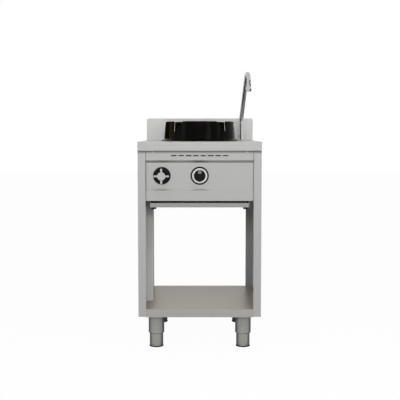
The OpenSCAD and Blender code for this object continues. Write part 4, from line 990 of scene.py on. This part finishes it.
class StageOperator(bpy.types.Operator):
    """Set up the floor, the room's light, the lamps, the dark cards and the camera"""
    bl_idname = "wok_range.stage"
    bl_label = "Stage"

    def execute(self, context):
        stage = context.scene.wok_range.stage
        scene = context.scene
        scene.view_settings.view_transform = "Standard"
        self.room(scene, stage)
        self.floor(scene, stage)
        self.lamps(scene, stage)
        self.dark_cards(scene)
        self.camera(scene, stage)
        return {"FINISHED"}

    @staticmethod
    def seen(board):
        """1 for what the camera, a mirror or glass looks at."""
        path = board.node("ShaderNodeLightPath")
        return path.reading("Is Camera Ray").most(path.reading("Is Glossy Ray")).most(
            path.reading("Is Transmission Ray"))

    @staticmethod
    def flat_piece(scene, name, maker, material):
        """A flat mesh that belongs to the stage."""
        shape = bmesh.new()
        maker(shape)
        mesh = bpy.data.meshes.new(name)
        shape.to_mesh(mesh)
        shape.free()
        mesh.materials.append(material)
        piece = bpy.data.objects.new(name, mesh)
        scene.collection.objects.link(piece)
        return piece

    def room(self, scene, stage):
        world = bpy.data.worlds.new("room")
        scene.world = world
        board = Board(world)
        up = board.axes(board.node("ShaderNodeTexCoord").reading("Generated"))[2]
        below, above, white = (
            board.node("ShaderNodeBackground", None,
                       {"Color": (1, 1, 1, 1), "Strength": level}).reading()
            for level in (stage.ground, stage.sky, 1.0))
        light = board.blended(up.between(-0.6, 0.7), below, above)
        board.node("ShaderNodeOutputWorld", None,
                   {"Surface": board.blended(self.seen(board), light, white)})

    def floor(self, scene, stage):
        """A pale floor that looks white, keeps a soft shadow and throws back little light."""
        shown_share, unseen_share, white_share = 1.0, 0.2, 0.97
        half_size, drop = 15, 0.2 * MM
        board = finish_board("floor_pale")
        grain = board.noise(board.place(), 40, 3)
        seen = self.seen(board)
        shown, unseen = (
            board.node("ShaderNodeBsdfPrincipled", None,
                       {"Base Color": board.toned(grain, stage.floor_colour, share * 0.99,
                                                  share * 1.01),
                        "Roughness": 0.9, "Specular IOR Level": 0.0}).reading()
            for share in (shown_share, unseen_share))
        white = board.node("ShaderNodeEmission", None,
                           {"Color": (1, 1, 1, 1), "Strength": 1.0}).reading()
        matt = board.blended(seen, unseen, shown)
        board.node("ShaderNodeOutputMaterial", None,
                   {"Surface": board.blended(seen * white_share, matt, white)})

        def make(shape):
            bmesh.ops.create_grid(shape, x_segments=4, y_segments=4, size=half_size)
        floor = self.flat_piece(scene, "floor", make, board.owner)
        floor.location.z = -drop

    @staticmethod
    def lamps(scene, stage):
        """Two lamps in front, which mirrors don't see, and a narrow one at each side."""
        front, top, strip = stage.front_power, stage.top_power, stage.strip_power
        for name, power, size, place, target, mirrored in (
                ("front_lamp", front, (1.4, 0.4), (0.12, -2.4, 1.1), (0, -0.3, 0.55), False),
                ("top_lamp", top, (2.0, 0.6), (0, -1.7, 2.2), (0, -0.35, 0.7), False),
                ("left_strip", strip, (0.15, 1.2), (-1.9, -1.2, 1.1), (0, 0, 0.9), True),
                ("right_strip", strip, (0.15, 1.2), (1.9, -1.2, 1.1), (0, 0, 0.9), True)):
            light = bpy.data.lights.new(name, "AREA")
            light.energy = power
            light.shape = "RECTANGLE"
            light.size, light.size_y = size
            lamp = bpy.data.objects.new(name, light)
            lamp.location = place
            aim = Vector(target) - Vector(place)
            lamp.rotation_euler = aim.to_track_quat("-Z", "Y").to_euler()
            lamp.visible_glossy = mirrored
            scene.collection.objects.link(lamp)

    def dark_cards(self, scene):
        """Dark cards that only mirrors see, so that chrome and tubes show their edges."""
        board = finish_board("card_black")
        grain = board.noise(board.place(), 30, 2)
        black = board.surface(Base_Color=board.mix(grain, (0.01,) * 3, (0.02,) * 3), Roughness=0.9)
        above_floor = 0.4 * MM
        for name, (left, near, low), (right, far, high) in (
                ("left_card", (-1.7, 0.45, 0.85), (-1.7, 5.0, 1.45)),
                ("low_card", (1.15, 0.4, 0.05), (1.15, 1.25, 0.65)),
                ("right_card", (0.75, -0.45, 1.10), (0.75, 0.5, 1.2)),
                ("floor_card", (-0.9, -0.26, above_floor), (0.9, 0.42, above_floor))):
            corners = ((left, near, low), (left, far, low), (right, far, high), (right, near, high))

            def make(shape):
                shape.faces.new([shape.verts.new(corner) for corner in corners])
            card = self.flat_piece(scene, name, make, black)
            card.visible_camera = False
            card.visible_diffuse = False
            card.visible_shadow = False

    @staticmethod
    def camera(scene, stage):
        view = bpy.data.cameras.new("camera")
        view.lens = stage.camera_lens
        view.sensor_width = 36
        camera = bpy.data.objects.new("camera", view)
        camera.location = stage.camera_place
        camera.rotation_euler = (stage.camera_tilt, 0, 0)
        scene.collection.objects.link(camera)
        scene.camera = camera


OPERATORS = (SteelworkOperator, LegsOperator, CastingsOperator, GasControlOperator, FaucetOperator,
             PipeworkOperator, ScrewsOperator, StageOperator)


class WokRangePanel(bpy.types.Panel):
    """Lists the settings and the steps"""
    bl_idname = "VIEW3D_PT_wok_range"
    bl_label = "Wok Range"
    bl_space_type = "VIEW_3D"
    bl_region_type = "UI"
    bl_category = "Wok Range"

    def draw(self, context):
        settings = context.scene.wok_range
        for group in (settings.steel, settings.casting, settings.fitting, settings.stage):
            box = self.layout.box()
            box.label(text=group.bl_rna.description)
            for name in group.__annotations__:
                box.prop(group, name)
        for operator in OPERATORS:
            self.layout.operator(operator.bl_idname)


CLASSES = (SteelSettings, CastingSettings, FittingSettings, StageSettings, WokRangeSettings,
           *OPERATORS, WokRangePanel)


def register():
    for kind in CLASSES:
        bpy.utils.register_class(kind)
    bpy.types.Scene.wok_range = PointerProperty(type=WokRangeSettings)


def unregister():
    del bpy.types.Scene.wok_range
    for kind in reversed(CLASSES):
        bpy.utils.unregister_class(kind)


def main():
    register()
    bpy.ops.wok_range.steelwork()
    bpy.ops.wok_range.legs()
    bpy.ops.wok_range.castings()
    bpy.ops.wok_range.gas_control()
    bpy.ops.wok_range.faucet()
    bpy.ops.wok_range.pipework()
    bpy.ops.wok_range.screws()
    bpy.ops.wok_range.stage()


if __name__ == "__main__":
    main()
